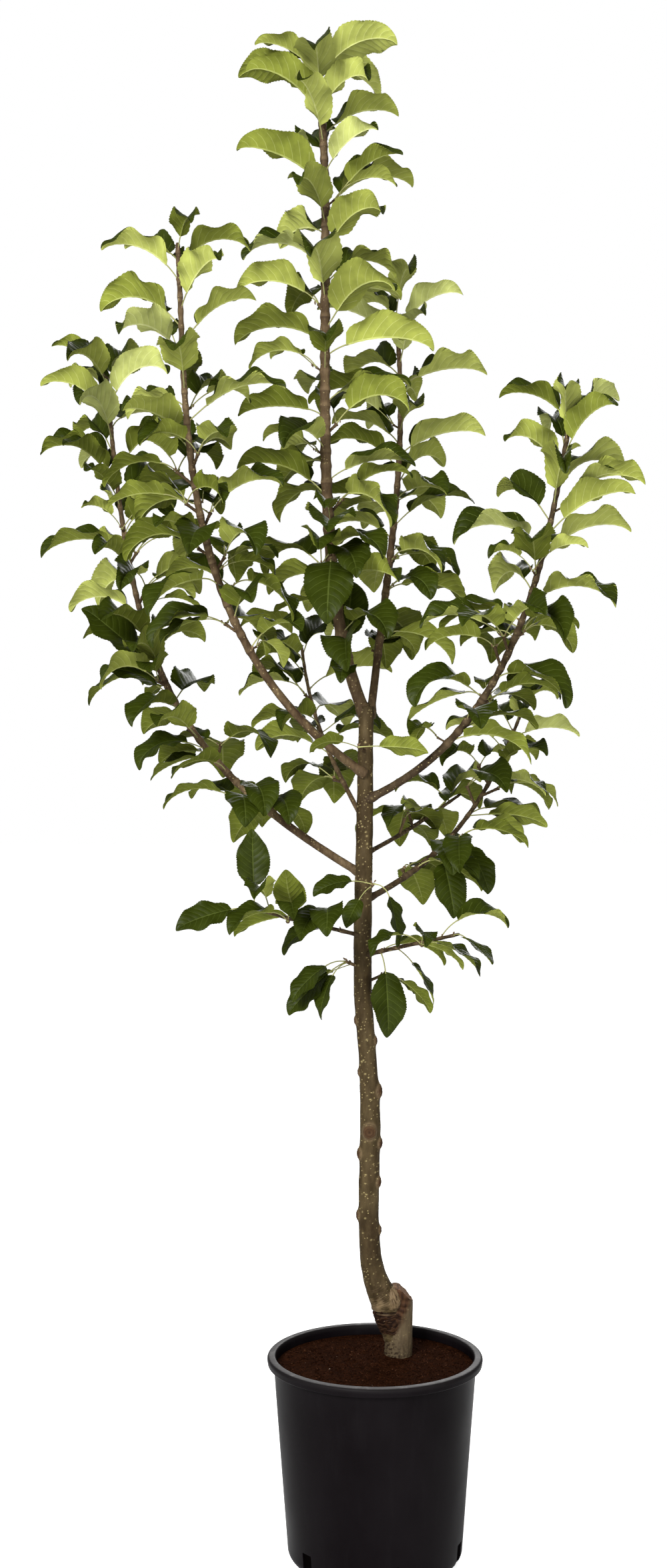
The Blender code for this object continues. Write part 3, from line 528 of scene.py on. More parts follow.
class Tree:
    """Where every leaf and twig grows: one rule and one seed to a shoot, each in its own space."""

    def __init__(self):
        self.limbs = {name: limb.at(np.linspace(0, 1, 41)) for name, limb in LIMBS.items()}
        self.shoots = {name: limb.at(np.linspace(limb.bare, 1, 33)) for name, limb in LIMBS.items()}
        self.trunk = smooth_line(TRUNK_AXIS, 60)
        self.sheets = {name: [] for name in LIMBS}
        self.named = {name: [] for name in LIMBS}
        for name, limb in LIMBS.items():
            for row in limb.named:
                leaf = self.named_leaf(name, limb, *row)
                if leaf:
                    self.named[name].append(leaf)

    def named_leaf(self, name, limb, t, bearing, rise, lift, droop, roll, blade):
        leaf = dict(
            root=limb.at(mix(limb.bare, 1, t)), stalk=NAMED_STALK, blade=blade,
            half=blade * NAMED_HALF_WIDTH, rise=math.radians(rise), lift=math.radians(lift),
            droop=math.radians(droop), fold=math.radians(NAMED_FOLD), roll=math.radians(roll),
            shade=1.0, age=t)
        leaf = self.fit(name, leaf, bearing, NAMED_SWINGS, kept=True)
        if leaf:
            leaf["grid"] = leaf_grid(leaf)
        return leaf

    def in_own_space(self, name, points):
        """True where every point is nearer to this shoot than to any other."""
        own = nearest(points, self.shoots[name])
        others = [nearest(points, shoot) for other, shoot in self.shoots.items() if other != name]
        return all((away > own + SPACE_MARGIN).all() for away in others)

    def clear_of_limbs(self, name, points):
        if (nearest(points, self.trunk) < TRUNK_ROOM).any():
            return False
        for other, limb in LIMBS.items():
            line = self.limbs[other]
            if other == name:
                line = line[:max(2, int(len(line) * limb.bare))]
            if (nearest(points, line) < limb.radii[0] + LIMB_MARGIN).any():
                return False
        return True

    def clear_of_named(self, name, points):
        rest = [leaf for other, leaves in self.named.items() if other != name for leaf in leaves]
        return all(nearest(points, leaf["grid"]).min() > LEAF_MARGIN for leaf in rest)

    def fit(self, name, leaf, bearing, swings, kept=False):
        """Swings a leaf round until it has room, and skips it where it finds none."""
        for swing in swings:
            turn = math.radians(bearing + swing)
            leaf["heading"] = np.array([math.cos(turn), math.sin(turn), 0.0])
            points = leaf_grid(leaf)
            if not kept and not self.in_own_space(name, points):
                continue
            if not self.clear_of_limbs(name, points[1:]) or not self.clear_of_named(name, points):
                continue
            sheet = blade_sheet(leaf)
            if kept or not any(sheet.overlap(other) for other in self.sheets[name]):
                self.sheets[name].append(sheet)
                return leaf
        return None

    def new_leaf(self, name, root, bearing, t, draws, size=1.0):
        """A leaf by its place on the shoot: old ones hang flat and dark, the dark partly painted shade; young ones rise
        and fold.
        """
        limb = LIMBS[name]
        shade = .75 * min(1, max(0, 1.05 - 1.25 * t)) + .35 * min(1, max(0, (1.25 - root[2]) / .25))
        shade = min(1, shade)
        young = max(0, (t - .82) / .18)
        blade = limb.leaf * size * mix(.84, 1.13, draws[0]) * mix(1, .82, young) * mix(1.04, .97, shade)
        leaf = dict(
            root=root, blade=blade,
            stalk=mix(.024, .036, draws[1]) * mix(1, .75, young),
            half=blade * mix(.275, .305, shade) * mix(.92, 1.08, draws[2]),
            rise=math.radians(mix(54, 34, shade) + mix(-12, 12, draws[3]) + 8 * young),
            lift=math.radians(mix(42, 0, shade) + mix(-16, 14, draws[4]) * mix(1, 2.0, shade) + 6 * young),
            droop=math.radians(mix(-20, -62, shade) + mix(-26, 22, draws[5])),
            fold=math.radians(mix(46, 14, shade) + mix(-12, 12, draws[6])),
            roll=math.radians(mix(-1, 1, draws[7]) * mix(30, 42, shade)),
            shade=shade, age=t)
        return self.fit(name, leaf, bearing, SWINGS)

    def grow(self, name):
        """All the leaves of one shoot, and the side twigs that carry its rosettes."""
        limb = LIMBS[name]
        rng = random.Random(limb.seed)
        leaves = list(self.named[name])
        twigs = []
        line = limb.at(np.linspace(limb.bare, 1, 200))
        along = np.append(0, np.cumsum(np.sqrt((np.diff(line, axis=0)**2).sum(1))))
        length = along[-1]
        place = FIRST_LEAF
        count = 0
        while limb.gap and place < length - LAST_LEAF:
            t = place / length
            root = on_line(line, along, place)
            axis = on_line(line, along, min(place + .004, length)) - root
            axis = axis / np.linalg.norm(axis)
            east = np.cross(axis, [0, 1, 0])
            east = east / np.linalg.norm(east)
            north = np.cross(axis, east)
            turn = math.radians(limb.phase + count * DIVERGENCE + rng.uniform(-TURN_WANDER, TURN_WANDER))
            outward = east * math.cos(turn) + north * math.sin(turn)
            draws = [rng.random() for _ in range(DRAWS)]
            if rng.random() < limb.spurs and t < SPURS_END:
                self.add_spur(name, root, axis, outward, t, draws, rng, leaves, twigs)
            else:
                level = outward + axis * .7
                leaf = self.new_leaf(name, root, math.degrees(math.atan2(level[1], level[0])), t, draws)
                leaves += [leaf] if leaf else []
            closing = 1 if t < .8 else mix(1, .45, (t - .8) / .2)
            place += limb.gap * closing * (.85 + .3 * rng.random())
            count += 1
        return leaves, twigs

    def add_spur(self, name, root, axis, outward, t, draws, rng, leaves, twigs):
        """A short side twig with a rosette of leaves round its end."""
        way = outward * .75 + axis * .35 + UP * .35
        end = root + way / np.linalg.norm(way) * mix(.012, .035, draws[0])
        room = self.in_own_space(name, end[None])
        if room:
            twigs.append((root, end))
        for i in range(ROSETTE):
            draws = [rng.random() for _ in range(DRAWS)]
            if not room:
                continue
            bearing = math.degrees(math.atan2(outward[1], outward[0])) + 75 * (i - 1) + mix(-20, 20, draws[7])
            leaf = self.new_leaf(name, end, bearing, t, draws, SPUR_LEAF)
            leaves += [leaf] if leaf else []


def smooth_line(points, count):
    """A Catmull-Rom line through the points, read at an even step of its parameter."""
    points = np.array(points)
    points = np.vstack([2 * points[0] - points[1], points, 2 * points[-1] - points[-2]])
    line = []
    for u in np.linspace(0, len(points) - 3, count):
        i = min(int(u), len(points) - 4)
        t = u - i
        a, b, c, d = points[i:i + 4]
        line.append(.5 * (2 * b + (c - a) * t + (2 * a - 5 * b + 4 * c - d) * t**2
                          + (3 * b - a - 3 * c + d) * t**3))
    return np.array(line)


def on_line(line, along, place):
    return np.array([np.interp(place, along, line[:, k]) for k in range(3)])


def trunk_radius(height):
    heights, radii = zip(*TRUNK_GIRTH)
    return float(np.interp(height, heights, radii))


tree = Tree()
growth = {name: tree.grow(name) for name in LIMBS}
leaf_count = sum(len(leaves) for leaves, _ in growth.values())
print("leaves:", leaf_count, "side twigs:", sum(len(twigs) for _, twigs in growth.values()))

# %% [markdown]
# ## The finer twigs
# The solids hold only as many leaves as a light model may have. On the real tree each shoot also carries
# short fruiting spurs, with small leaves that opened later and fill the gaps between the large ones. They
# grow by the same rule, at a finer step and with their own seed, after all the large leaves have taken
# their places, so that nothing already there moves. The thin low shoots stay as open as they are.

# %% Grow the finer twigs
FINE_STEP = .105
FINE_REACH = .80
FINE_LEAF = (.50, .86)
FINE_TWIG = (.005, .018)
FILLED_SHOOTS = ("leader", "second_leader", "left_inner", "left_outer", "right")


def fill_shoot(name, limb):
    """Short twigs with small leaves, wherever a shoot still has room for them."""
    rng = random.Random(limb.seed + 5000)
    line = limb.at(np.linspace(limb.bare, 1, 200))
    along = np.append(0, np.cumsum(np.sqrt((np.diff(line, axis=0)**2).sum(1))))
    place = FIRST_LEAF
    leaves = []
    twigs = []
    while place < along[-1] * FINE_REACH:
        t = place / along[-1]
        root = on_line(line, along, place)
        turn = rng.uniform(0, math.tau)
        outward = np.array([math.cos(turn), math.sin(turn), 0])
        end = root + (outward * .8 + UP * .45) * rng.uniform(*FINE_TWIG)
        grown = []
        for _ in range(2):
            draws = [rng.random() for _ in range(DRAWS)]
            bearing = math.degrees(turn) + rng.uniform(-60, 60)
            leaf = tree.new_leaf(name, end, bearing, t, draws, rng.uniform(*FINE_LEAF))
            grown += [leaf] if leaf else []
        if grown:
            leaves += grown
            twigs.append((root, end))
        place += FINE_STEP * rng.uniform(.7, 1.3)
    return leaves, twigs


fine_growth = {name: ([], []) for name in LIMBS}
for name in FILLED_SHOOTS:
    fine_growth[name] = fill_shoot(name, LIMBS[name])
fine_count = sum(len(leaves) for leaves, _ in fine_growth.values())
print("small leaves:", fine_count, "fine twigs:", sum(len(twigs) for _, twigs in fine_growth.values()))

# %% [markdown]
# ## Bark
# The rod is smooth olive-brown bark, sprinkled with small pale breathing pores, greyer up the shoots and
# downy at their tips. The relief is real geometry: a fine grid is rolled into a tube along the limb, and
# each point is lifted by noise, pores, rings at old buds and the callus round pruned twigs. What the relief
# knows is also written on the points as a colour attribute, so the finish can make pores pale, callus
# smooth and light, and cracks dark, exactly where they stand. The same attribute carries painted shade,
# dark in creases and hollows, and painted highlight, pale on the tops of lumps.

# %% Make the bark finish
BARK_LOW = (.0235, .0138, .0046)
BARK_HIGH = (.058, .0405, .0172)
PORE = (.37, .30, .135)
SPECK_CELLS = 230
CALLUS_AND_HIGHLIGHT = (.235, .165, .092)
CRACK_AND_SHADE = (.009, .0035, .0016)
RUST = (.036, .0125, .0055)
TORN = (.075, .036, .016)


def specks(tree, torn):
    """The share of pale pore at each spot: a dot in some of the cells of a Voronoi pattern, none on torn bark."""
    place = tree.nodes.new("ShaderNodeTexCoord")
    cells = node(tree, "ShaderNodeTexVoronoi", Scale=SPECK_CELLS)
    tree.links.new(place.outputs["Object"], cells.inputs["Vector"])
    draws = tree.nodes.new("ShaderNodeSeparateColor")
    tree.links.new(cells.outputs["Color"], draws.inputs["Color"])
    dot = spread(tree, cells.outputs["Distance"], .10, .24, .62, 0)
    for share in (spread(tree, draws.outputs["Red"], .45, .75), spread(tree, torn, 0, .5, 1, 0)):
        product = tree.nodes.new("ShaderNodeMath")
        product.operation = "MULTIPLY"
        tree.links.new(dot, product.inputs[0])
        tree.links.new(share, product.inputs[1])
        dot = product.outputs["Value"]
    return dot


def bark_material(name, dark, light, speckle=120.0):
    """Bark that varies along its grain, with torn, healed, porous and cracked places, and painted shade and painted
    highlight, where the relief is marked.
    """
    material = plain_material(name, dark, .76, .09)
    tree = material.node_tree
    shader = tree.nodes["Principled BSDF"]
    patches = spread(tree, noise_on(tree, 26, 5, (1, 1, .45)), .38, .62)
    grain = spread(tree, noise_on(tree, speckle, 6, (1, 1, .30)), .35, .68)
    mottle = spread(tree, noise_on(tree, 75, 7, (1, 1, .55), .7), .40, .62)
    colour = blend_colours(tree, patches, dark, light)
    colour = blend_colours(tree, spread(tree, mottle, 0, 1, 0, .4), colour, tuple(c * 1.3 for c in light))
    darker = tuple(c * .5 for c in dark)
    colour = blend_colours(tree, spread(tree, grain, 0, 1, 0, .6), colour, darker)
    marks = tree.nodes.new("ShaderNodeAttribute")
    marks.attribute_name = "marks"
    torn = tree.nodes.new("ShaderNodeAttribute")
    torn.attribute_name = "torn"
    colour = blend_colours(tree, torn.outputs["Fac"], colour, blend_colours(tree, grain, RUST, TORN))
    parts = tree.nodes.new("ShaderNodeSeparateColor")
    tree.links.new(marks.outputs["Color"], parts.inputs["Color"])
    colour = blend_colours(tree, specks(tree, torn.outputs["Fac"]), colour, PORE)
    # Green carries callus and painted highlight; blue carries cracks and painted shade in creases, hollows and at the
    # rootstock's foot
    for channel, mark in (("Green", CALLUS_AND_HIGHLIGHT), ("Red", PORE), ("Blue", CRACK_AND_SHADE)):
        colour = blend_colours(tree, parts.outputs[channel], colour, mark)
    tree.links.new(colour, shader.inputs["Base Color"])
    tree.links.new(spread(tree, grain, 0, 1, .60, .82), shader.inputs["Roughness"])
    add_bump(tree, shader, noise_on(tree, 520, 3, (1, 1, .35)), .0004, .6)
    return material


bark = bark_material("bark", BARK_LOW, BARK_HIGH)
stub_bark = bark_material("rootstock_bark", (.036, .026, .013), (.078, .060, .034), 160)
bough_bark = bark_material("bough_bark", (.017, .0095, .0040), (.044, .0295, .0145), 160)
young_bark = bark_material("young_bark", (.034, .0190, .0090), (.095, .064, .032), 200)
print("bark finishes:", bark.name, stub_bark.name, bough_bark.name, young_bark.name)

# %% [markdown]
# ## Rolling a grid into a limb
# A tube with relief needs a fine, even grid. Blender's grid primitive gives one with its faces already in
# order: its width is rolled round the limb and its length laid along the axis. The frame that carries the
# ring is turned as little as possible from one station to the next, so the bark doesn't twist. The seam is
# welded and both ends are closed.

# %% Roll a grid round an axis


def lumps(points, scale, seed=0.0):
    """Smooth noise in space, from -1 to 1, at one scale."""
    return np.array([noise.noise(Vector(p) * scale + Vector((seed, seed * .7, -seed))) for p in points])


def carry_frames(line):
    """Two directions across the axis at each station, turned as little as possible on the way."""
    tangents = np.gradient(line, axis=0)
    tangents /= np.linalg.norm(tangents, axis=1)[:, None]
    first = np.array([1.0, 0, 0])
    firsts = []
    for tangent in tangents:
        first = first - tangent * first.dot(tangent)
        first /= np.linalg.norm(first)
        firsts.append(first)
    firsts = np.array(firsts)
    return firsts, np.cross(tangents, firsts)


def even_line(line, shares):
    """The points at these shares of a line's length."""
    along = np.append(0, np.cumsum(np.sqrt((np.diff(line, axis=0)**2).sum(1))))
    return np.stack([np.interp(shares * along[-1], along, line[:, k]) for k in range(3)], axis=1)


def roll_limb(name, line, radii, sides, relief, material):
    """A closed tube round a line, its radii lifted by relief(along, turn, radii, points).

    The relief's marks are the shares of pore, of callus with painted highlight, and of crack with painted shade at each
    point, and may add that of torn bark.
    """
    rows = len(line)
    along = np.append(0, np.cumsum(np.sqrt((np.diff(line, axis=0)**2).sum(1))))
    firsts, seconds = carry_frames(line)
    bm = bmesh.new()
    bmesh.ops.create_grid(bm, x_segments=sides, y_segments=rows - 1, size=1)
    grid = np.array([v.co for v in bm.verts])
    column = np.rint((grid[:, 0] + 1) / 2 * sides).astype(int)
    row = np.rint((grid[:, 1] + 1) / 2 * (rows - 1)).astype(int)
    turn = (column % sides) / sides * math.tau
    out = firsts[row] * np.cos(turn)[:, None] + seconds[row] * np.sin(turn)[:, None]
    centre = line[row]
    lift, marks = relief(along[row], turn, radii[row], centre + out * radii[row][:, None])
    points = centre + out * (radii[row] + lift)[:, None]
    layer = bm.verts.layers.float_color.new("marks")
    torn_layer = bm.verts.layers.float.new("torn")
    torn = marks[:, 3] if marks.shape[1] > 3 else np.zeros(len(points))
    for vertex, point, mark, tear in zip(bm.verts, points, marks[:, :3], torn):
        vertex.co = point
        vertex[layer] = (*mark, 1)
        vertex[torn_layer] = tear
    bmesh.ops.remove_doubles(bm, verts=bm.verts, dist=1e-6)
    bmesh.ops.holes_fill(bm, edges=[edge for edge in bm.edges if edge.is_boundary])
    bmesh.ops.triangulate(bm, faces=[face for face in bm.faces if len(face.verts) > 4])
    bmesh.ops.recalc_face_normals(bm, faces=bm.faces)
    mesh = mesh_from_bmesh(name, bm)
    mesh.materials.append(material)
    return mesh


def pores(along, turn, radii, count, length, rng, size=.0010):
    """Small raised pores, dealt out over the bark in loose rows."""
    total = np.zeros(len(along))
    for _ in range(count):
        place = rng.uniform(0, length)
        way = rng.uniform(0, math.tau)
        tall = size * (.35 + .65 * rng.random()**2)
        wide = tall * rng.uniform(1.0, 1.9)
        near = np.abs(along - place) < 3 * tall
        across = (turn[near] - way + math.pi) % math.tau - math.pi
        spot = np.exp(-((along[near] - place) / tall)**2 - (across * radii[near] / wide)**2)
        total[near] = np.maximum(total[near], spot)
    return total


print("tube maker ready")

# %% [markdown]
# ## The trunk
# The trunk is a budded rod. It leaves the rootstock in a thick elbow with close wrinkles round it; a
# crease and flaking brown bark lie under the elbow. The crease and the hollows of the elbow are painted
# dark as shade, and its lumps pale as painted highlight. Higher up it carries pruned buds and twigs, each
# healed over by a ring of callus with a small dark scar. It ends in the fork, where two leaders go on.

# %% Roll the trunk
TRUNK_COLUMNS = 72
FINE_ROWS = 300
PLAIN_ROWS = 590
FINE_SHARE = .16
PORE_COUNT = 620
ELBOW_TOP = .378
CREASE = .3295
FLAKY_FOOT = .297


def knob_relief(points, centre_line):
    """Height and marks of the healed knobs, by the distance from each one over the bark."""
    height = np.zeros(len(points))
    callus = np.zeros(len(points))
    crack_and_shade = np.zeros(len(points))
    scar = np.zeros(len(points))
    waver = lumps(points, 260, 31)
    for level, bearing, size in KNOBS:
        way = math.radians(bearing - 90)
        centre = centre_line[np.abs(centre_line[:, 2] - level).argmin()]
        spot = centre + trunk_radius(level) * np.array([math.cos(way), math.sin(way), 0])
        spot[2] = level
        gap = points - spot
        gap[:, 2] /= 1.35
        far = np.linalg.norm(gap, axis=1) / size + .07 * waver
        dome = 1 / (1 + (far / .92)**5)
        rings = np.cos(far * 2 * math.pi * 2.6) * np.exp(-(far / .8)**2)
        height += size * (.62 * dome + .06 * rings - .16 * np.exp(-(far / .22)**2))
        callus = np.maximum(callus, .26 * np.exp(-((far - .95) / .22)**2))
        scar = np.maximum(scar, .62 * np.clip((.95 - far) / .30, 0, 1))
        for place, width, depth in ((0, .17, .8), (.42, .07, .6), (.68, .05, .5), (.90, .05, .55)):
            crack_and_shade = np.maximum(crack_and_shade, depth * np.exp(-((far - place) / width)**2))
    return height, callus, crack_and_shade, scar


def flakes(height, points, seed):
    """Bark that breaks across into plates: 0 at a plate's lower edge, 1 at its upper one."""
    return (height / .0060 + 1.5 * lumps(points, 60, seed) + .9 * lumps(points, 150, seed + 2)) % 1


def trunk_relief(along, turn, radii, points):
    rng = random.Random(41)
    lift = .0007 * lumps(points, 38) + .00028 * lumps(points * np.array([1, 1, .6]), 150, 3)
    spots = pores(along, turn, radii, PORE_COUNT, along.max(), rng)
    knobs, callus, crack_and_shade, scar = knob_relief(points, line)
    elbow = np.clip((ELBOW_TOP - points[:, 2]) / .035, 0, 1)
    flaky = np.clip((CREASE - .0005 - points[:, 2]) / .003, 0, 1)
    flaky *= np.clip((points[:, 2] - FLAKY_FOOT) / .003 + .8 * lumps(points, 90, 15), 0, 1)
    folded = np.stack([points[:, 0], points[:, 1], along * 6], axis=1)
    wrinkle = lumps(folded, 130, 9) + .7 * lumps(folded, 230, 4)
    bulge = lumps(points, 95, 11)
    sway = CREASE + .0022 * lumps(points, 50, 4)
    crease = np.exp(-((points[:, 2] - sway) / .0017)**2)
    plates = flakes(points[:, 2], points, 2)
    lift += elbow * (1 - flaky) * (.00030 * wrinkle + .0013 * bulge) - .0024 * crease
    lift += flaky * (.0013 * (plates - .5) + .0008 * lumps(points, 190, 7)) + .00042 * spots * (1 - elbow) + knobs
    # Painted shade: the hollows between the elbow's wrinkles and lumps are darkened
    crack_and_shade = np.maximum(crack_and_shade, np.clip(-wrinkle * 1.3 - .25 - .5 * bulge, 0, 1) * .6 * elbow * (1 - flaky))
    # Painted shade: the crease is painted nearly as dark as a crack
    crack_and_shade = np.maximum(crack_and_shade, .95 * crease)
    crack_and_shade = np.maximum(crack_and_shade, flaky * np.clip(1.45 - 1.4 * plates + .9 * lumps(points, 160, 5), .42, 1))
    # Painted highlight: the elbow's lumps and raised wrinkles are painted pale, over a little of the elbow's own paler
    # tone
    pale = .50 * elbow * (1 - flaky) * np.clip(.12 + .55 * wrinkle + 1.2 * bulge, 0, 1)
    marks = [.8 * spots * (1 - .55 * elbow) * (1 - flaky), np.maximum(callus, pale), crack_and_shade, np.maximum(scar, .85 * flaky)]
    return lift, np.stack(marks, axis=1)


shares = np.append(np.linspace(0, FINE_SHARE, FINE_ROWS), np.linspace(FINE_SHARE, 1, PLAIN_ROWS)[1:])
line = even_line(smooth_line(TRUNK_AXIS, 1200), shares)
radii = np.array([trunk_radius(point[2]) for point in line])
trunk_mesh = roll_limb("trunk_bark", line, radii, TRUNK_COLUMNS, trunk_relief, bark)
trunk_piece = add_piece("trunk_bark", trunk_mesh, ["trunk"])

# %% [markdown]
# ## The rootstock
# The rod was budded onto a rootstock, whose top was then cut off. The stub is weathered: streaky grey bark
# on the right, torn red-brown bark next to the elbow, a rounded top and a rough slanting shoulder. It is
# rolled as the trunk is, sawn by two planes, and the cuts are closed, rounded and roughened.

# %% Roll the rootstock and saw it off
STUB_ROWS = 190
STUB_COLUMNS = 96
STUB_FOOT = SOIL_TOP - .012
TEAR_LOW = (.029, .292)
TEAR_HIGH = (.0545, .341)


def stub_relief(along, turn, radii, points):
    rng = random.Random(7)
    lift = .0008 * lumps(points, 45, 5) + .0004 * lumps(points * np.array([1, 1, .25]), 210, 2)
    spots = pores(along, turn, radii, 150, along.max(), rng, .0007)
    right = (points[:, 0] - TEAR_LOW[0]) / (TEAR_HIGH[0] - TEAR_LOW[0])
    above = (points[:, 2] - TEAR_LOW[1]) / (TEAR_HIGH[1] - TEAR_LOW[1])
    torn = np.clip((above - right) * 2.6 + .15 + .55 * lumps(points, 70, 12), 0, 1)
    torn *= np.clip((points[:, 2] - FLAKY_FOOT) / .004 + .8 * lumps(points, 90, 15), 0, 1)
    shreds = np.sin((points[:, 2] + .55 * points[:, 0]) / .0017 + 3 * lumps(points, 60, 8))
    splinters = lumps(points * np.array([1, 1, .18]), 420, 6)
    plates = flakes(points[:, 2] + .3 * points[:, 0], points, 9)
    deep = np.clip((.330 - points[:, 2]) / .012, 0, 1)
    lift += torn * (.0007 * shreds * (1 - deep) + .0014 * deep * (plates - .4) + .0011 * lumps(points, 160, 4))
    crack_and_shade = torn * np.clip(.30 + .25 * shreds + .7 * splinters + deep * (1.1 - .9 * plates), 0, 1)
    # Painted shade: the bark is darkened towards the foot and on the left side, in noisy patches
    foot = np.clip((SOIL_TOP + .045 - points[:, 2]) / .045 - 20 * (points[:, 0] - .035), 0, 1)
    patchy_shade = np.clip(.55 + 1.5 * lumps(points, 360, 17), 0, 1)
    streaks = lumps(points * np.array([1, 1, .10]), 330, 13)
    crack_and_shade = np.maximum(crack_and_shade, (.55 * np.clip(streaks, 0, 1) + .10 + .20 * foot) * (1 - torn))
    marks = [.3 * spots * (1 - torn), .22 * (1 - torn), np.maximum(crack_and_shade, .95 * foot * patchy_shade), .9 * torn]
    return lift, np.stack(marks, axis=1)


heights = np.linspace(STUB_FOOT, ROOTSTOCK_TOP + .02, STUB_ROWS)
line = np.array([[ROOTSTOCK_FOOT[0] + ROOTSTOCK_LEAN * (z - SOIL_TOP), ROOTSTOCK_FOOT[1], z] for z in heights])
radii = np.interp(heights, [SOIL_TOP, SOIL_TOP + .05, ROOTSTOCK_TOP], [.0198, .0186, .0183])
stub_mesh = roll_limb("rootstock_bark", line, radii, STUB_COLUMNS, stub_relief, stub_bark)

cut_wood = plain_material("weathered_cut", (.10, .045, .022), .85, .1)
tree_nodes = cut_wood.node_tree
fibres = spread(tree_nodes, noise_on(tree_nodes, 300, 6, (1, 1, .3)), .3, .7)
cut_colour = blend_colours(tree_nodes, fibres, (.060, .028, .015), (.19, .115, .070))
tree_nodes.links.new(cut_colour, tree_nodes.nodes["Principled BSDF"].inputs["Base Color"])
add_bump(tree_nodes, tree_nodes.nodes["Principled BSDF"], fibres, .0008, .8)
stub_mesh.materials.append(cut_wood)

bm = bmesh.new()
bm.from_mesh(stub_mesh)
tilt = math.radians(ROOTSTOCK_SLOPE)
foot_x, foot_y = ROOTSTOCK_FOOT
shoulder = (foot_x + ROOTSTOCK_RADIUS, foot_y, ROOTSTOCK_SHOULDER), (math.sin(tilt), 0, math.cos(tilt))
flat_top = (foot_x, foot_y, ROOTSTOCK_TOP), (0, 0, 1)
cut = []
for place, way in (shoulder, flat_top):
    bmesh.ops.bisect_plane(bm, geom=bm.verts[:] + bm.edges[:] + bm.faces[:], plane_co=place, plane_no=way,
                           clear_outer=True)
    cut += bmesh.ops.holes_fill(bm, edges=[edge for edge in bm.edges if edge.is_boundary])["faces"]
cut = [face for face in cut if face.is_valid]
for face in cut:
    face.material_index = 1
fans = bmesh.ops.poke(bm, faces=cut)
spokes = {edge for vertex in fans["verts"] for edge in vertex.link_edges}
bmesh.ops.subdivide_edges(bm, edges=list(spokes), cuts=6, use_grid_fill=False)
inner = {v for face in bm.faces if face.material_index == 1 for v in face.verts}
for vertex in inner:
    vertex.co += Vector((.5, 0, .8)) * .0013 * noise.noise(vertex.co * 230)
top_axis = Vector((foot_x + ROOTSTOCK_LEAN * (ROOTSTOCK_TOP - SOIL_TOP), foot_y))
for vertex in bm.verts:
    near_top = max(0, 1 - (ROOTSTOCK_TOP - vertex.co.z) / .008)
    outward = (vertex.co.xy - top_axis).length / ROOTSTOCK_RADIUS
    vertex.co.z -= .0042 * near_top * outward**3
bmesh.ops.triangulate(bm, faces=[face for face in bm.faces if len(face.verts) > 4])
bmesh.ops.recalc_face_normals(bm, faces=bm.faces)
bm.to_mesh(stub_mesh)
bm.free()
stub_piece = add_piece("rootstock_bark", stub_mesh, ["trunk"])

# %% [markdown]
# ## The callus over the graft
# Where the elbow meets the stub, healing wood has rolled over the stub's top in a smooth, wrinkled lobe. It
# is a round body, so it starts as a sphere; noise makes it lumpy, and fine folds run over it from the elbow.

# %% Shape the callus
CALLUS_CENTRE = (.0258, .0350, .3470)
CALLUS_SIZE = (.0136, .0155, .0188)

bm = bmesh.new()
bmesh.ops.create_icosphere(bm, subdivisions=6, radius=1)
ball = np.array([v.co for v in bm.verts])
spots = ball * CALLUS_SIZE + CALLUS_CENTRE
folded = np.stack([6 * (spots[:, 0] + .35 * spots[:, 2]), spots[:, 1], spots[:, 2]], axis=1)
folds = lumps(folded, 120, 9) + .7 * lumps(folded, 230, 3)
lift = .0020 * lumps(spots, 75, 21) + .0009 * lumps(spots, 190, 2) + .00030 * folds
tear = np.clip((spots[:, 0] - .0340) / .0025 + 1.3 * lumps(spots, 150, 5), 0, 1)
# Painted shade: the hollows between the folds and lumps are darkened; the torn edge on the right is dark bark of its
# own
dark = np.clip(-folds * 1.3 - .20 - .5 * lumps(spots, 75, 21), 0, 1) * .65 + .9 * tear * np.clip(1.6 * lumps(spots, 300, 8) + .35, 0, 1)
layer = bm.verts.layers.float_color.new("marks")
torn_layer = bm.verts.layers.float.new("torn")
for vertex, spot, out, rise, fold, deep, share in zip(bm.verts, spots, ball, lift, folds, dark, tear):
    vertex.co = spot + out * rise
    # The callus share is the callus's own pale tone, lighter on the ridges of the folds as painted highlight
    vertex[layer] = (0, max(0, .30 + .35 * fold) * (1 - .7 * share), min(1, deep), 1)
    vertex[torn_layer] = .18 + .62 * share
callus_mesh = mesh_from_bmesh("graft_callus", bm)
callus_mesh.materials.append(bark)
add_piece("graft_callus", callus_mesh)

# %% [markdown]
# ## Loose bark at the graft
# Scraps of dead bark stand off round the crease, mostly on the left: small curled plates, dark, with a few
# paler splinters. A thin bent plate is made once and strewn along the crease.

# %% Strew the scraps of bark
SCRAPS = 26
scrap_finishes = [
    plain_material("scrap_dark", (.018, .0075, .0040), .85, .06),
    plain_material("scrap_brown", (.070, .026, .011), .85, .06),
    plain_material("scrap_pale", (.150, .100, .058), .8, .08),
]
for material in scrap_finishes:
    grain = noise_on(material.node_tree, 700, 4, (1, 1, .4))
    add_bump(material.node_tree, material.node_tree.nodes["Principled BSDF"], grain, .0003, .8)
bm = bmesh.new()
bmesh.ops.create_grid(bm, x_segments=4, y_segments=3, size=.5)
sheet = bmesh.ops.solidify(bm, geom=bm.faces[:], thickness=.09)
for vertex in bm.verts:
    vertex.co.z += .2 * vertex.co.x**2 + .14 * noise.noise(vertex.co * 3)
    vertex.co.y *= 1 - .5 * abs(vertex.co.x)
bmesh.ops.recalc_face_normals(bm, faces=bm.faces)
rng = random.Random(5)
scrap_places = []
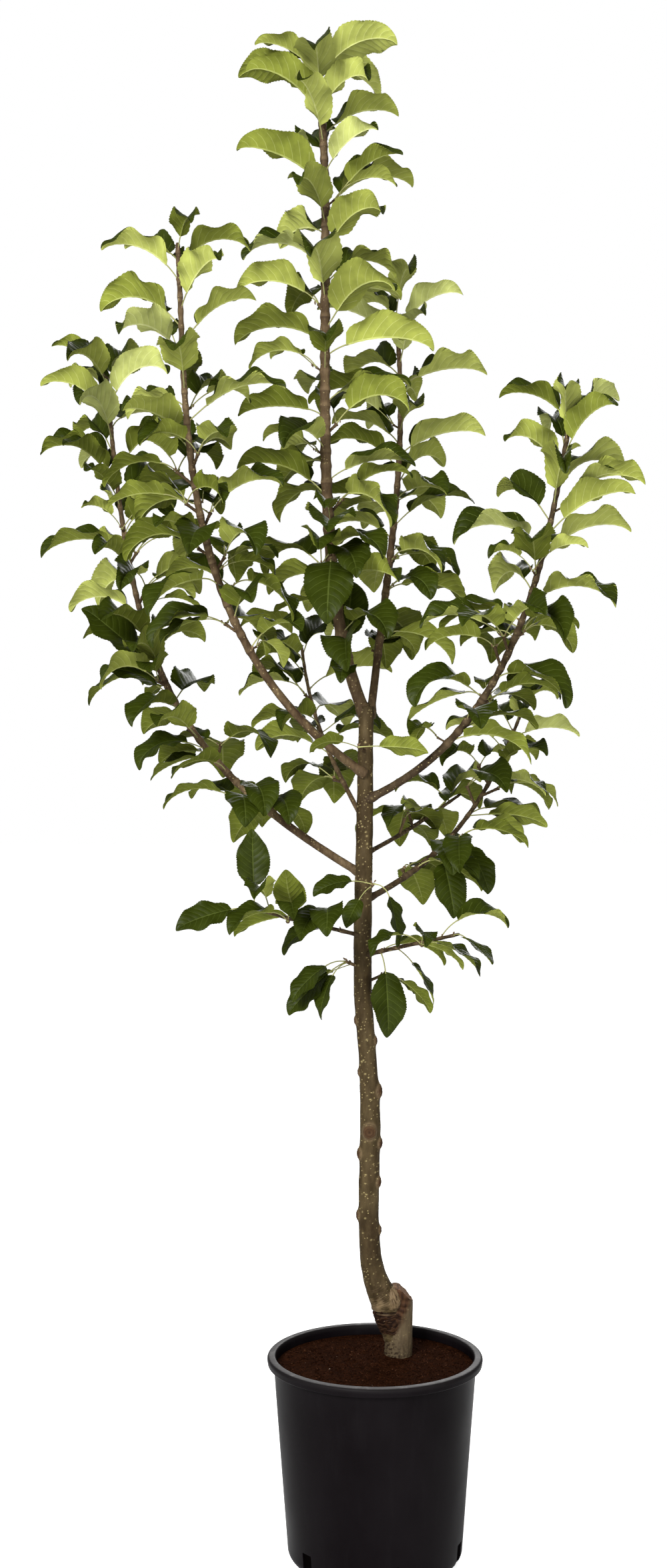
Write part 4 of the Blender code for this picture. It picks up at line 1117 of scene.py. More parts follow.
for _ in range(SCRAPS):
    height = CREASE + rng.gauss(-.004, .0060)
    bearing = math.radians(rng.gauss(192, 26))
    centre = np.array([np.interp(height, [p[2] for p in TRUNK_AXIS], [p[k] for p in TRUNK_AXIS])
                                        for k in (0, 1)])
    radius = trunk_radius(height) + rng.uniform(.0001, .0010)
    spot = Vector((centre[0] + radius * math.cos(bearing), centre[1] + radius * math.sin(bearing), height))
    outward = Vector((math.cos(bearing), math.sin(bearing), rng.uniform(-.5, .7)))
    size = rng.uniform(.0018, .0044)
    shape = Matrix.Diagonal((size * rng.uniform(.5, 1.1), size, size, 1))
    turn = outward.to_track_quat("Z", "Y").to_matrix().to_4x4() @ Matrix.Rotation(rng.gauss(0, .5), 4, "Z")
    slot = 0 if rng.random() < .62 else 1 if rng.random() < .86 else 2
    scrap_places.append((Matrix.Translation(spot) @ turn @ shape, slot))
points, corners, sizes, slots = scatter(pattern_of(bm), scrap_places)
mesh = mesh_from_arrays("bark_scraps", points, corners, sizes, slots, scrap_finishes)
add_piece("bark_scraps", mesh)

# %% [markdown]
# ## Boughs and shoots
# Each bough and its leafy shoot are one tapering limb of bark, so they are rolled as one. The foot has a
# collar of wrinkled bark where it breaks from the trunk. Every leaf stands on a small swelling, with the
# ring of an old bud below it. Old boughs take a darker bark than the young shoots.

# %% Roll the boughs and shoots
ROW_STEP = .0021
SHOOT_COLUMNS = 26
COLLAR_LENGTH = .010


def limb_relief(limb, name):
    """The relief of one limb: collar at its foot, swellings at its leaves, pores and fine wrinkles."""
    leaves, twigs = growth[name]
    fine = limb.at(np.linspace(0, 1, 400))
    way = np.append(0, np.cumsum(np.sqrt((np.diff(fine, axis=0)**2).sum(1))))
    roots = [leaf["root"] for leaf in leaves] + [twig[0] for twig in twigs]
    stops = [way[np.linalg.norm(fine - root, axis=1).argmin()] for root in roots]

    def relief(along, turn, radii, points):
        rng = random.Random(limb.seed + 5)
        lift = .05 * radii * lumps(points, 60, limb.seed) + .02 * radii * lumps(points, 240, 2)
        spots = pores(along, turn, radii, int(along.max() * 420), along.max(), rng, .0008)
        start = TRUNK_REACH
        collar = np.clip(1 - (along - start) / COLLAR_LENGTH, 0, 1)**2
        lift += radii * .28 * collar * (1 + .10 * np.sin(along / .0011))
        swell = np.zeros(len(along))
        ring = np.zeros(len(along))
        for stop in stops:
            swell = np.maximum(swell, np.exp(-((along - stop) / .0042)**2))
            ring = np.maximum(ring, np.exp(-((along - stop + .0030) / .0007)**2))
        lift += radii * .17 * swell + radii * .07 * ring + .00022 * spots
        marks = np.stack([.4 * spots, .06 * collar + .16 * swell, .5 * ring * (1 - collar) + .25 * collar], axis=1)
        return lift, marks

    return relief


TRUNK_REACH = .012
for name, limb in LIMBS.items():
    length = np.linalg.norm(np.diff(limb.at(np.linspace(0, 1, 200)), axis=0), axis=1).sum()
    ts = np.linspace(0, 1, max(12, round(length / ROW_STEP)))
    line = limb.at(ts)
    radii = np.array([limb.radius(t) for t in ts])
    closing = np.clip((1 - ts) * length / .004, 0, 1)
    radii = radii * (.55 + .45 * np.sqrt(closing))
    finish = bough_bark if name in OLD_WOOD else young_bark
    mesh = roll_limb("bark_" + name, line, radii, SHOOT_COLUMNS, limb_relief(limb, name), finish)
    add_piece("bark_" + name, mesh, ["bough_" + name] if limb.bough else [])

# %% [markdown]
# ## One leaf as a pattern
# An apple leaf is oval with a short point and a saw-toothed edge. Eight pairs of side veins leave the rib
# and sweep forward; between them the blade bulges up. The pattern is a flat grid whose rows follow the side
# veins, so veins and teeth fall on its lines. It has a top and an underside that share the edge, which makes
# a thin closed body. Both are cut into the same triangles, so that neither pokes through the other, and each
# face knows whether it is blade or vein, above or below.

# %% Make the leaf pattern
VEIN_PAIRS = 8
FIRST_VEIN = .075
LAST_VEIN = .835
VEIN_HALF = .0030
COLUMNS = (0, .034, .28, .55, .80, 1.0)
VEIN_SWEEP = .58
TOP_BLADE, UNDER_BLADE, TOP_VEIN, UNDER_VEIN = range(4)


def row_places():
    """Where each grid row starts on the rib, and whether it runs along a vein (1) or between (0)."""
    rows = [(0, 0), (.008, 0), (.024, 0), (.045, 0)]
    veins = np.linspace(FIRST_VEIN, LAST_VEIN, VEIN_PAIRS)
    step = veins[1] - veins[0]
    for vein in veins:
        rows += [(vein - VEIN_HALF, 1), (vein + VEIN_HALF, 1)]
        rows += [(vein + step * .36, 0), (vein + step * .68, 0)]
    return rows + [(.945, 0), (.975, 0), (1, 0)]


def make_leaf_pattern():
    """The closed pattern: its points as (column, row) on the rib grid, sheet and teeth, and its faces."""
    rows = row_places()
    half = len(COLUMNS) - 1
    places = [-c for c in COLUMNS[:0:-1]] + list(COLUMNS)
    bm = bmesh.new()
    bmesh.ops.create_grid(bm, x_segments=2 * half, y_segments=len(rows) - 1, size=1)
    for vertex in bm.verts:
        column = round((vertex.co.x + 1) / 2 * 2 * half)
        row = round((vertex.co.y + 1) / 2 * (len(rows) - 1))
        vertex.co = (places[column], row, 0)
    edges = [e for e in bm.edges if all(abs(abs(v.co.x) - 1) < .01 for v in e.verts)]
    teeth = bmesh.ops.subdivide_edges(bm, edges=edges, cuts=1)
    last = len(rows) - 1
    for row in (0, last):
        ends = [v for v in bm.verts if abs(v.co.y - row) < .01]
        bmesh.ops.pointmerge(bm, verts=ends, merge_co=(0, row, 0))
    bmesh.ops.triangulate(bm, faces=bm.faces[:])
    under = bmesh.ops.duplicate(bm, geom=bm.verts[:] + bm.edges[:] + bm.faces[:])["geom"]
    low_faces = [item for item in under if isinstance(item, bmesh.types.BMFace)]
    bmesh.ops.reverse_faces(bm, faces=low_faces)
    for vertex in [item for item in under if isinstance(item, bmesh.types.BMVert)]:
        if not vertex.is_boundary:
            vertex.co.z = -1
    for vertex in bm.verts:
        if vertex.co.z == 0 and not vertex.is_boundary:
            vertex.co.z = 1
    bmesh.ops.remove_doubles(bm, verts=bm.verts, dist=1e-4)
    bm.verts.ensure_lookup_table()
    points = np.array([v.co for v in bm.verts])
    faces = [[v.index for v in face.verts] for face in bm.faces]
    kinds = []
    for face in bm.faces:
        middle = face.calc_center_median()
        level = [rows[min(last, int(math.floor(v.co.y + .01)))] for v in face.verts]
        on_vein = all(kind == 1 for _, kind in level) and len({round(v.co.y) for v in face.verts}) == 2
        on_vein = on_vein and abs(level[0][0] - level[-1][0]) + abs(level[0][0] - level[1][0]) < .03
        on_rib = abs(middle.x) < COLUMNS[1]
        low = middle.z < 0
        vein = on_rib or (on_vein and abs(middle.x) < COLUMNS[-2])
        kinds.append({(0, 0): TOP_BLADE, (1, 0): UNDER_BLADE, (0, 1): TOP_VEIN, (1, 1): UNDER_VEIN}[low, vein])
    bm.free()
    return points, faces, np.array(kinds), rows


pattern_points, pattern_faces, pattern_kinds, pattern_rows = make_leaf_pattern()
print("pattern points:", len(pattern_points), "faces:", len(pattern_faces))

# %% [markdown]
# ## Laying the pattern on each leaf
# The pattern's rows and columns become places along and across one leaf of the rule: along its arching rib,
# out to the half width there, and up the fold. The sweep of the veins moves a point forward as it goes out.
# Veins are raised on the underside and sunk on top, the edge waves, and a small tooth ends each row.

# %% Lay one leaf
LEAF_THICKNESS = .00032
RIB_RAISED = .00120
VEIN_RAISED = .00034
QUILT = .00060
TOOTH = .00085
FINE_STEPS = 40
TIP_CURL = math.radians(24)
FOLD_AT_RIB = (1.0, 1.35)
FOLD_AT_EDGE = .62
EDGE_WAVE = (.070, .036)

row_start = np.array([place for place, _ in pattern_rows])
row_vein = np.array([kind for _, kind in pattern_rows], float)
out = pattern_points[:, 0]
reach = np.abs(out)
level = pattern_points[:, 1]
start = np.interp(level, range(len(row_start)), row_start)
sweep = VEIN_SWEEP * start**.5 * np.clip(1 - start, 0, 1)**.9 * reach**1.25
place_along = start + sweep
vein_here = np.interp(level, range(len(row_vein)), row_vein) * (reach < .99)
between = (1 - vein_here) * np.sin(math.pi * np.clip(reach, 0, 1)**.8) * (start > .03) * (start < .93)
sheet = pattern_points[:, 2]
tooth = np.where(reach > .99, np.where(np.abs(level - np.rint(level)) > .1, 1.0, -.7), 0.0)
tooth *= (place_along > .02) * (place_along < .985)


def blade_shares(s):
    """The leaf's half width along its rib, for many places at once."""
    inside = np.clip(s, 1e-6, 1 - 1e-6)
    share = np.sin(np.pi * inside**.82)**.62 * (1 - .35 * np.clip(inside - .72, 0, None) / .28)
    return np.where((s <= 0) | (s >= 1), 0, share)


share_here = blade_shares(place_along)


def rib_slope(leaf, s):
    """How steeply the rib runs at s: it arches over, and its tip curls a little further."""
    arch = leaf["lift"] + (leaf["droop"] - leaf["lift"]) * np.clip(s, 0, 1)**BLADE_ARCH
    return arch - TIP_CURL * np.clip((s - .72) / .28, 0, 1)**2


def rib_line(leaf):
    """The rib as a smooth line, with its slope at each point."""
    steps = (np.arange(FINE_STEPS) + .5) / FINE_STEPS
    slopes = rib_slope(leaf, steps)
    ways = leaf["heading"] * np.cos(slopes)[:, None] + UP * np.sin(slopes)[:, None]
    return np.vstack([stalk_line(leaf)[-1], ways * leaf["blade"] / FINE_STEPS]).cumsum(axis=0)


def stalk_line(leaf):
    """The stalk from its root on the shoot to the foot of the blade."""
    points = [leaf["root"]]
    for i in range(STALK_STEPS):
        rise = mix(leaf["rise"], leaf["lift"], (i + .5) / STALK_STEPS)
        points.append(points[-1] + tilted(leaf["heading"], rise) * leaf["stalk"] / STALK_STEPS)
    return np.array(points)


def lay_leaf(leaf, rng):
    """The pattern's points in place on one leaf."""
    rib = rib_line(leaf)
    at = [np.interp(place_along * FINE_STEPS, range(FINE_STEPS + 1), rib[:, k]) for k in range(3)]
    centre = np.stack(at, axis=1)
    slope = rib_slope(leaf, place_along)
    across = np.cross(leaf["heading"], UP)
    flat = UP * np.cos(slope)[:, None] - leaf["heading"] * np.sin(slope)[:, None]
    roll = leaf["roll"] * (1 + place_along) / 2
    side = across * np.cos(roll)[:, None] + flat * np.sin(roll)[:, None]
    normal = flat * np.cos(roll)[:, None] - across * np.sin(roll)[:, None]
    steep = leaf["fold"] * rng.uniform(*FOLD_AT_RIB)
    table = np.linspace(0, 1, 21)
    angles = steep - (steep - leaf["fold"] * FOLD_AT_EDGE) * table
    wide = np.append(0, np.cumsum(np.cos(angles[:-1]) * np.diff(table)))
    high = np.append(0, np.cumsum(np.sin(angles[:-1]) * np.diff(table)))
    half = leaf["half"] * share_here
    fold_out = np.interp(reach, table, wide) * half * np.sign(out)
    fold_up = np.interp(reach, table, high) * half
    turn = np.interp(reach, table, angles) * np.sign(out)
    lean = normal * np.cos(turn)[:, None] - side * np.sin(turn)[:, None]
    waves = rng.uniform(1.6, 2.8)
    phases = rng.uniform(0, math.tau), rng.uniform(0, math.tau)
    phase = np.where(out > 0, phases[0], phases[1])
    size = leaf["blade"]
    wavy = mix(*EDGE_WAVE, leaf["shade"]) * size * np.sqrt(share_here)
    wave = np.sin(math.tau * waves * place_along + phase) * reach**2.0 * wavy
    ruffle = np.sin(math.tau * 6.5 * place_along + 2 * phase) * reach**5 * .0050 * size * share_here
    bend = rng.uniform(-1, 1) * .045 * size * np.clip(place_along, 0, 1)**2
    scale = size / .1
    relief = QUILT * between * scale - VEIN_RAISED * .45 * vein_here
    under = -LEAF_THICKNESS - VEIN_RAISED * vein_here + QUILT * .8 * between * scale
    under -= RIB_RAISED * scale * (1 - .8 * place_along) * (reach < .01)
    lift = np.where(sheet > .5, relief - .0003 * (reach < .01), np.where(sheet < -.5, under, 0))
    teeth = TOOTH * scale * tooth * np.sqrt(np.clip(share_here, 0, 1))
    points = centre + side * (fold_out + bend + teeth * np.sign(out))[:, None]
    points += normal * (fold_up)[:, None]
    points += lean * (wave + ruffle + lift)[:, None]
    return points


print("leaf layer ready")

# %% [markdown]
# ## Colours of the leaves
# The tops are dark green with a little gloss; the undersides are pale yellow-green and downy, with lighter
# veins. Each leaf takes one of a few mixed sets, dealt out by the rule's own measure of shade and by age and
# height. The sets step from dark to pale: painted shade for low and inner leaves and painted light for high
# ones, with the young leaves' paler green in it; a third of the leaves are painted a few sets darker, as
# painted shadow from the leaves around them. The palest undersides are partly their own colour and partly
# painted light shining through the leaf, and the tops of the paler sets are painted darker against the light
# that falls on them. They are plain colours with only a fine bump, because a pattern would be lost on a piece
# that is many leaves joined together.

# %% Mix the leaf colours
# From the most shaded to the most lit: painted shade and light on one leaf colour, the undersides palest where they
# also stand in for light shining through
LEAF_SETS_SHADED_TO_LIT = [
    dict(top=(.018, .025, .0016), top_vein=(.042, .055, .009), under=(.085, .100, .012), under_vein=(.150, .165, .040)),
    dict(top=(.020, .028, .0018), top_vein=(.046, .060, .010), under=(.140, .160, .024), under_vein=(.215, .235, .065)),
    dict(top=(.020, .028, .0018), top_vein=(.051, .067, .012), under=(.200, .222, .042), under_vein=(.285, .305, .095)),
    dict(top=(.018, .025, .0016), top_vein=(.056, .073, .014), under=(.262, .286, .066), under_vein=(.350, .370, .130)),
    dict(top=(.016, .023, .0014), top_vein=(.062, .080, .017), under=(.312, .338, .102), under_vein=(.405, .425, .178)),
]


def leaf_material(name, colour, roughness, fine, strength, shine=.05):
    """A base colour that is a little uneven, with the leaf's fine net of veinlets as bump."""
    material = plain_material(name, colour, roughness, shine)
    tree_nodes = material.node_tree
    shader = tree_nodes.nodes["Principled BSDF"]
    clouds = spread(tree_nodes, noise_on(tree_nodes, 38, 4), .34, .66)
    uneven = blend_colours(tree_nodes, clouds, tuple(c * .82 for c in colour), tuple(c * 1.18 for c in colour))
    tree_nodes.links.new(uneven, shader.inputs["Base Color"])
    tree_nodes.links.new(spread(tree_nodes, clouds, 0, 1, roughness - .06, roughness + .06), shader.inputs["Roughness"])
    add_bump(tree_nodes, shader, noise_on(tree_nodes, fine, 3), .0002, strength)
    return material


leaf_materials = []
for number, colours in enumerate(LEAF_SETS_SHADED_TO_LIT):
    leaf_materials += [
        leaf_material(f"leaf_top_{number}", colours["top"], .42, 420, .25, .06),
        leaf_material(f"leaf_under_{number}", colours["under"], .80, 420, .18),
        leaf_material(f"leaf_top_vein_{number}", colours["top_vein"], .5, 420, .15),
        leaf_material(f"leaf_under_vein_{number}", colours["under_vein"], .7, 420, .15),
    ]
stalk_finish = leaf_material("leaf_stalk", (.225, .225, .085), .6, 700, .4)
bud_finish = leaf_material("bud_scales", (.120, .080, .045), .8, 900, .6)
print("leaf finishes:", len(leaf_materials))

# %% [markdown]
# ## The leaf masses
# Every leaf of one shoot is laid from the pattern and joined into one piece that stands for the shoot's
# solid. The joining is done with arrays, because a thousand objects would be slow to make and the export
# keeps no instances. The leaves are smooth with a sharp edge all round, so that the light on top doesn't
# bend over to the underside.

# %% Lay all the leaves
YOUNG_ABOVE = 1.2
pattern_sizes = np.array([len(face) for face in pattern_faces])
pattern_corners = np.concatenate([np.array(face) for face in pattern_faces])


def light_and_shade_set(leaf, rng):
    """Leaves in shade take the darker sets and young, high ones the paler, as painted shade and light; a third are
    painted darker still, as painted shadow.
    """
    young = np.clip((leaf["age"] - .86) / .08, 0, 1) * (leaf["root"][2] > YOUNG_ABOVE)
    # Painted shadow: a third of the leaves are dealt a few sets darker
    painted_shadow = 2.4 if rng.random() < .33 else 0
    value = (1 - leaf["shade"] * (1 - young)) * 3.5 + rng.uniform(-1.3, .9) - painted_shadow
    return int(np.clip(round(value), 0, len(LEAF_SETS_SHADED_TO_LIT) - 1))


for number, name in enumerate(LIMBS):
    leaves = growth[name][0] + fine_growth[name][0]
    rng = random.Random(900 + number)
    points = []
    slots = []
    for leaf in leaves:
        points.append(lay_leaf(leaf, rng))
        slots.append(pattern_kinds + 4 * light_and_shade_set(leaf, rng))
    count = len(pattern_points)
    corners = np.concatenate([pattern_corners + i * count for i in range(len(leaves))])
    sizes = np.tile(pattern_sizes, len(leaves))
    mesh = mesh_from_arrays("leaves_" + name, np.concatenate(points), corners, sizes,
                            np.concatenate(slots), leaf_materials)
    add_piece("blades_" + name, mesh, ["leaves_" + name])
    mesh.set_sharp_from_angle(angle=math.radians(75))

# %% [markdown]
# ## Stalks, spurs and buds
# A stalk is a thin green tube that widens at both ends: where it clasps the shoot and where the rib begins.
# Side spurs are short, ringed twigs. In the corner above each stalk sits next year's bud, a small downy
# cone. All are small and many, so each kind is one joined piece.

# %% Make stalks, spurs and buds
STALK_RADIUS = .00095
STALK_COLUMNS = 6
STALK_ROWS = 9
SPUR_COLUMNS = 10
SPUR_ROWS = 16


def tube_pattern(rows, columns):
    """A closed cylinder cut into rows: its points as (row, turn), and its faces."""
    bm = bmesh.new()
    bmesh.ops.create_cone(bm, cap_ends=True, segments=columns, radius1=1, radius2=1, depth=rows - 1)
    uprights = [edge for edge in bm.edges if abs(edge.verts[0].co.z - edge.verts[1].co.z) > .5]
    bmesh.ops.subdivide_edges(bm, edges=uprights, cuts=rows - 2)
    points, faces = pattern_of(bm)
    return np.rint(points[:, 2] + (rows - 1) / 2).astype(int), np.arctan2(points[:, 1], points[:, 0]), faces


def join_tubes(name, lines, radii, columns, material):
    """Lays one closed cylinder along each line and joins them all."""
    row, turn, faces = tube_pattern(len(lines[0]), columns)
    corners = np.concatenate(faces)
    sizes = np.array([len(face) for face in faces])
    points = []
    for line, radius in zip(lines, radii):
        firsts, seconds = carry_frames(line)
        out = firsts[row] * np.cos(turn)[:, None] + seconds[row] * np.sin(turn)[:, None]
        points.append(line[row] + out * radius[row][:, None])
    all_corners = np.concatenate([corners + i * len(row) for i in range(len(lines))])
    all_sizes = np.tile(sizes, len(lines))
    return mesh_from_arrays(name, np.concatenate(points), all_corners, all_sizes,
                            np.zeros(len(all_sizes), int), [material])


stalk_lines = []
stalk_radii = []
spur_lines = []
spur_radii = []
bud_places = []
rng = random.Random(77)
for name in LIMBS:
    for leaf in growth[name][0] + fine_growth[name][0]:
        line = stalk_line(leaf)
        rib = rib_line(leaf)
        onto_rib = rib[1] - UP * .0006
        stalk_lines.append(even_line(smooth_line(np.vstack([line, onto_rib]), STALK_ROWS * 3), np.linspace(0, 1, STALK_ROWS)))
        t = np.linspace(0, 1, STALK_ROWS)
        thick = STALK_RADIUS * (leaf["blade"] / .1)**.5
        stalk_radii.append(thick * (1 + .9 * np.clip(1 - t / .2, 0, 1)**2 + .15 * np.clip((t - .8) / .2, 0, 1)))
        way = tilted(leaf["heading"], leaf["rise"] + .35)
        limb = LIMBS[name]
        gap = limb.radius(leaf["age"]) * .9 + .0006
        turn = Vector(way + UP * .8).to_track_quat("Z", "Y").to_matrix()
        size = rng.uniform(.8, 1.25)
        place = Matrix.Translation(leaf["root"] + leaf["heading"] * gap + UP * .0040)
        bud_places.append((place @ (turn * size).to_4x4(), 0))
    for girth, (_, twigs) in ((1, growth[name]), (.68, fine_growth[name])):
        for root, end in twigs:
            t = np.linspace(0, 1, SPUR_ROWS)
            spur_lines.append(root + (end - root) * t[:, None] * 1.06)
            ringed = 1 + .10 * np.sin(t * 34)
            spur_radii.append(girth * (.0022 - .0002 * t) * ringed * (1 + .45 * np.clip((t - .75) / .25, 0, 1)))

mesh = join_tubes("leaf_stalks", stalk_lines, stalk_radii, STALK_COLUMNS, stalk_finish)
add_piece("leaf_stalks", mesh)
mesh = join_tubes("side_spurs", spur_lines, spur_radii, SPUR_COLUMNS, young_bark)
add_piece("side_spurs", mesh)

bm = bmesh.new()
bmesh.ops.create_uvsphere(bm, u_segments=7, v_segments=5, radius=.0014)
bmesh.ops.scale(bm, vec=(1, .8, 2.0), verts=bm.verts)
for vertex in bm.verts:
    vertex.co *= 1 - .28 * max(0, vertex.co.z / .0028)
points, corners, sizes, slots = scatter(pattern_of(bm), bud_places)
add_piece("leaf_buds", mesh_from_arrays("leaf_buds", points, corners, sizes, slots, [bud_finish]))

# %% [markdown]
# ## The pot
# A nursery pot is blown or moulded in thin black plastic: a slightly tapered wall, a rounded foot, and a
# rolled rim that is the only stiff part. It is a turned shape, so its profile is spun. The slots round its
# foot are cut with a Boolean from boxes, as the mould's cores leave them.

# %% Spin the pot and cut its slots
POT_TURNS = 144


def spin_profile(name, profile, turns):
    """A closed turned body from a profile of (radius, height) points that starts and ends on the axis."""
    bm = bmesh.new()
    points = [bm.verts.new((radius, 0, height)) for radius, height in profile]
    edges = [bm.edges.new(pair) for pair in zip(points, points[1:])]
    bmesh.ops.spin(bm, geom=points + edges, cent=(0, 0, 0), axis=(0, 0, 1), angle=math.tau, steps=turns,
                   use_merge=True)
    bmesh.ops.remove_doubles(bm, verts=bm.verts, dist=1e-6)
    bmesh.ops.recalc_face_normals(bm, faces=bm.faces)
    return bm


def arc(centre_radius, centre_height, size, first, last, steps):
    angles = [math.radians(mix(first, last, i / steps)) for i in range(steps + 1)]
    return [(centre_radius + size * math.cos(a), centre_height + size * math.sin(a)) for a in angles]


rim_base = POT_HEIGHT - RIM_DEPTH
foot_rounding = FOOT_ROUNDING * 1.3
bead = .0052
inner_foot = foot_rounding - POT_WALL
profile = [(0, POT_WALL), (FOOT_RADIUS * .5, POT_WALL)]
profile += arc(FOOT_RADIUS - foot_rounding, foot_rounding, inner_foot, -90, 0, 8)
profile += [(COLLAR_RADIUS - POT_WALL, rim_base - .002), (RIM_RADIUS - .0120, POT_HEIGHT - .0022)]
profile += arc(RIM_RADIUS - bead - .0042, POT_HEIGHT - .0022, .0022, 150, 80, 4)
profile += arc(RIM_RADIUS - bead, POT_HEIGHT - bead, bead, 78, -8, 8)
profile += [(RIM_RADIUS - .0008, rim_base + .0030)]
profile += arc(RIM_RADIUS - .0030, rim_base + .0024, .0022, -10, -90, 4)
profile += arc(COLLAR_RADIUS + .0030, rim_base - .0028, .0030, 90, 180, 4)
profile += [(mix(COLLAR_RADIUS, FOOT_RADIUS, i / 8), mix(rim_base - .004, foot_rounding, i / 8))
            for i in range(1, 8)]
profile += arc(FOOT_RADIUS - foot_rounding, foot_rounding, foot_rounding, 0, -90, 10)
profile += [(FOOT_RADIUS * .80, 0), (FOOT_RADIUS * .78, .0010), (FOOT_RADIUS * .3, .0010), (0, .0010)]
bm = spin_profile("pot", profile, POT_TURNS)
for vertex in bm.verts:
    flat = Vector((vertex.co.x, vertex.co.y, 0))
    wall = min(1, max(0, (vertex.co.z - .02) / .1)) * min(1, max(0, (rim_base - vertex.co.z) / .05))
    vertex.co += flat.normalized() * .0005 * wall * noise.noise(Vector((vertex.co.x, vertex.co.y, vertex.co.z * .5)) * 9)
pot_mesh = mesh_from_bmesh("pot", bm)

cutters = bpy.data.collections.new("slot_cutters")
bpy.context.scene.collection.children.link(cutters)
for i in range(SLOT_COUNT):
    bearing = math.radians(FIRST_SLOT_BEARING - 90 + i * 360 / SLOT_COUNT)
    bm = bmesh.new()
    bmesh.ops.create_cube(bm, size=1)
    bmesh.ops.scale(bm, vec=(SLOT_REACH, SLOT_WIDTH, 2 * SLOT_HEIGHT), verts=bm.verts)
    bmesh.ops.bevel(bm, geom=[e for e in bm.edges if abs(e.verts[0].co.x - e.verts[1].co.x) > SLOT_REACH / 2],
                    offset=.0012, segments=2, profile=.5, affect="EDGES", material=-1)
    bmesh.ops.translate(bm, vec=(FOOT_RADIUS, 0, 0), verts=bm.verts)
    bmesh.ops.rotate(bm, cent=(0, 0, 0), matrix=Matrix.Rotation(bearing, 3, "Z"), verts=bm.verts)
    cutter = bpy.data.objects.new("slot_cutter", mesh_from_bmesh("slot_cutter", bm))
    cutters.objects.link(cutter)

pot_piece = bpy.data.objects.new("pot_uncut", pot_mesh)
bpy.context.scene.collection.objects.link(pot_piece)
slots_cut = pot_piece.modifiers.new("slots", "BOOLEAN")
slots_cut.operation = "DIFFERENCE"
slots_cut.operand_type = "COLLECTION"
slots_cut.collection = cutters
slots_cut.solver = "EXACT"
depsgraph = bpy.context.evaluated_depsgraph_get()
pot_mesh = bpy.data.meshes.new_from_object(pot_piece.evaluated_get(depsgraph))
bpy.data.objects.remove(pot_piece, do_unlink=True)
for cutter in list(cutters.objects):
    bpy.data.objects.remove(cutter, do_unlink=True)
bpy.data.collections.remove(cutters)

# %% [markdown]
# ## The pot's plastic
# Black plastic is never quite black: it has a soft sheen that turns grey towards the edges, faint cloudy
# scuffs where pots have been stacked, and a thin film of dust. Roughness does most of this, with a little
# colour from the dust. The rim is painted lighter grey towards its top, with a narrow pale line along the
# lip: a painted highlight.

# %% Give the pot its plastic
plastic = plain_material("black_plastic", (.0030, .0022, .0026), .40, .031)
tree_nodes = plastic.node_tree
shader = tree_nodes.nodes["Principled BSDF"]
clouds = spread(tree_nodes, noise_on(tree_nodes, 9, 5, (1, 1, .7)), .35, .68)
scuffs = spread(tree_nodes, noise_on(tree_nodes, 60, 8, (1, 1, .12), .7), .52, .74)
colour = blend_colours(tree_nodes, clouds, (.0022, .0014, .0018), (.0042, .0032, .0038))
colour = blend_colours(tree_nodes, spread(tree_nodes, scuffs, 0, 1, 0, .08), colour, (.018, .017, .018))
place = tree_nodes.nodes.new("ShaderNodeTexCoord")
axes = tree_nodes.nodes.new("ShaderNodeSeparateXYZ")
tree_nodes.links.new(place.outputs["Object"], axes.inputs["Vector"])
# Painted highlight: the rim is painted lighter grey towards its top
rim_highlight = spread(tree_nodes, axes.outputs["Z"], POT_HEIGHT - .0075, POT_HEIGHT - .0020, 0, .4)
colour = blend_colours(tree_nodes, rim_highlight, colour, (.015, .0135, .0135))
# Painted highlight: a narrow pale line along the top of the lip, uneven with the scuffs
lip = blend_colours(tree_nodes, scuffs, (.075, .072, .072), (.150, .146, .144))
colour = blend_colours(tree_nodes, spread(tree_nodes, axes.outputs["Z"], POT_HEIGHT - .0013, POT_HEIGHT - .0002), colour, lip)
tree_nodes.links.new(colour, shader.inputs["Base Color"])
tree_nodes.links.new(spread(tree_nodes, clouds, 0, 1, .36, .52), shader.inputs["Roughness"])
add_bump(tree_nodes, shader, noise_on(tree_nodes, 900, 2), .00012, .5)
pot_mesh.materials.clear()
pot_mesh.materials.append(plastic)
pot_piece = add_piece("pot_shell", pot_mesh, ["pot"])
pot_mesh.set_sharp_from_angle(angle=math.radians(38))

# %% [markdown]
# ## The compost
# Peat compost settles a finger's width under the rim. Its surface is uneven and loose: fine dark crumbs, a
# few larger lumps and bits of fibre. The body is a turned solid whose top is pushed up and down by noise at
# three scales, and crumbs of a few mixed shapes are strewn on it and joined into one piece.

# %% Make the compost
SOIL_RINGS = 110
SOIL_TURNS = 190
CRUMBS = 5600
FIBRES = 420


def soil_height(x, y):
    """How far the compost rises or sinks at a place."""
    spot = Vector((x, y, 0))
    height = .0026 * noise.noise(spot * 22) + .0016 * noise.noise(spot * 75 + Vector((4, 1, 0)))
    return height + .0010 * noise.noise(spot * 230 + Vector((9, 2, 0)))


edge = (COLLAR_RADIUS - POT_WALL - GAP, rim_base - .002)
low = (FOOT_RADIUS - POT_WALL - GAP, foot_rounding)
share = (SOIL_TOP - low[1]) / (edge[1] - low[1])
top_radius = mix(low[0], edge[0], share)
profile = [(top_radius * i / SOIL_RINGS, SOIL_TOP) for i in range(SOIL_RINGS + 1)]
profile += arc(FOOT_RADIUS - foot_rounding, foot_rounding, foot_rounding - POT_WALL - GAP, 0, -90, 4)
profile += [(0, POT_WALL + GAP)]
bm = spin_profile("soil", profile, SOIL_TURNS)
for vertex in bm.verts:
    radius = math.hypot(vertex.co.x, vertex.co.y)
    if vertex.co.z > SOIL_TOP - 1e-5 and radius < top_radius - 1e-4:
        fade = min(1, (top_radius - radius) / .006)
        vertex.co.z += soil_height(vertex.co.x, vertex.co.y) * fade
soil_mesh = mesh_from_bmesh("compost", bm)

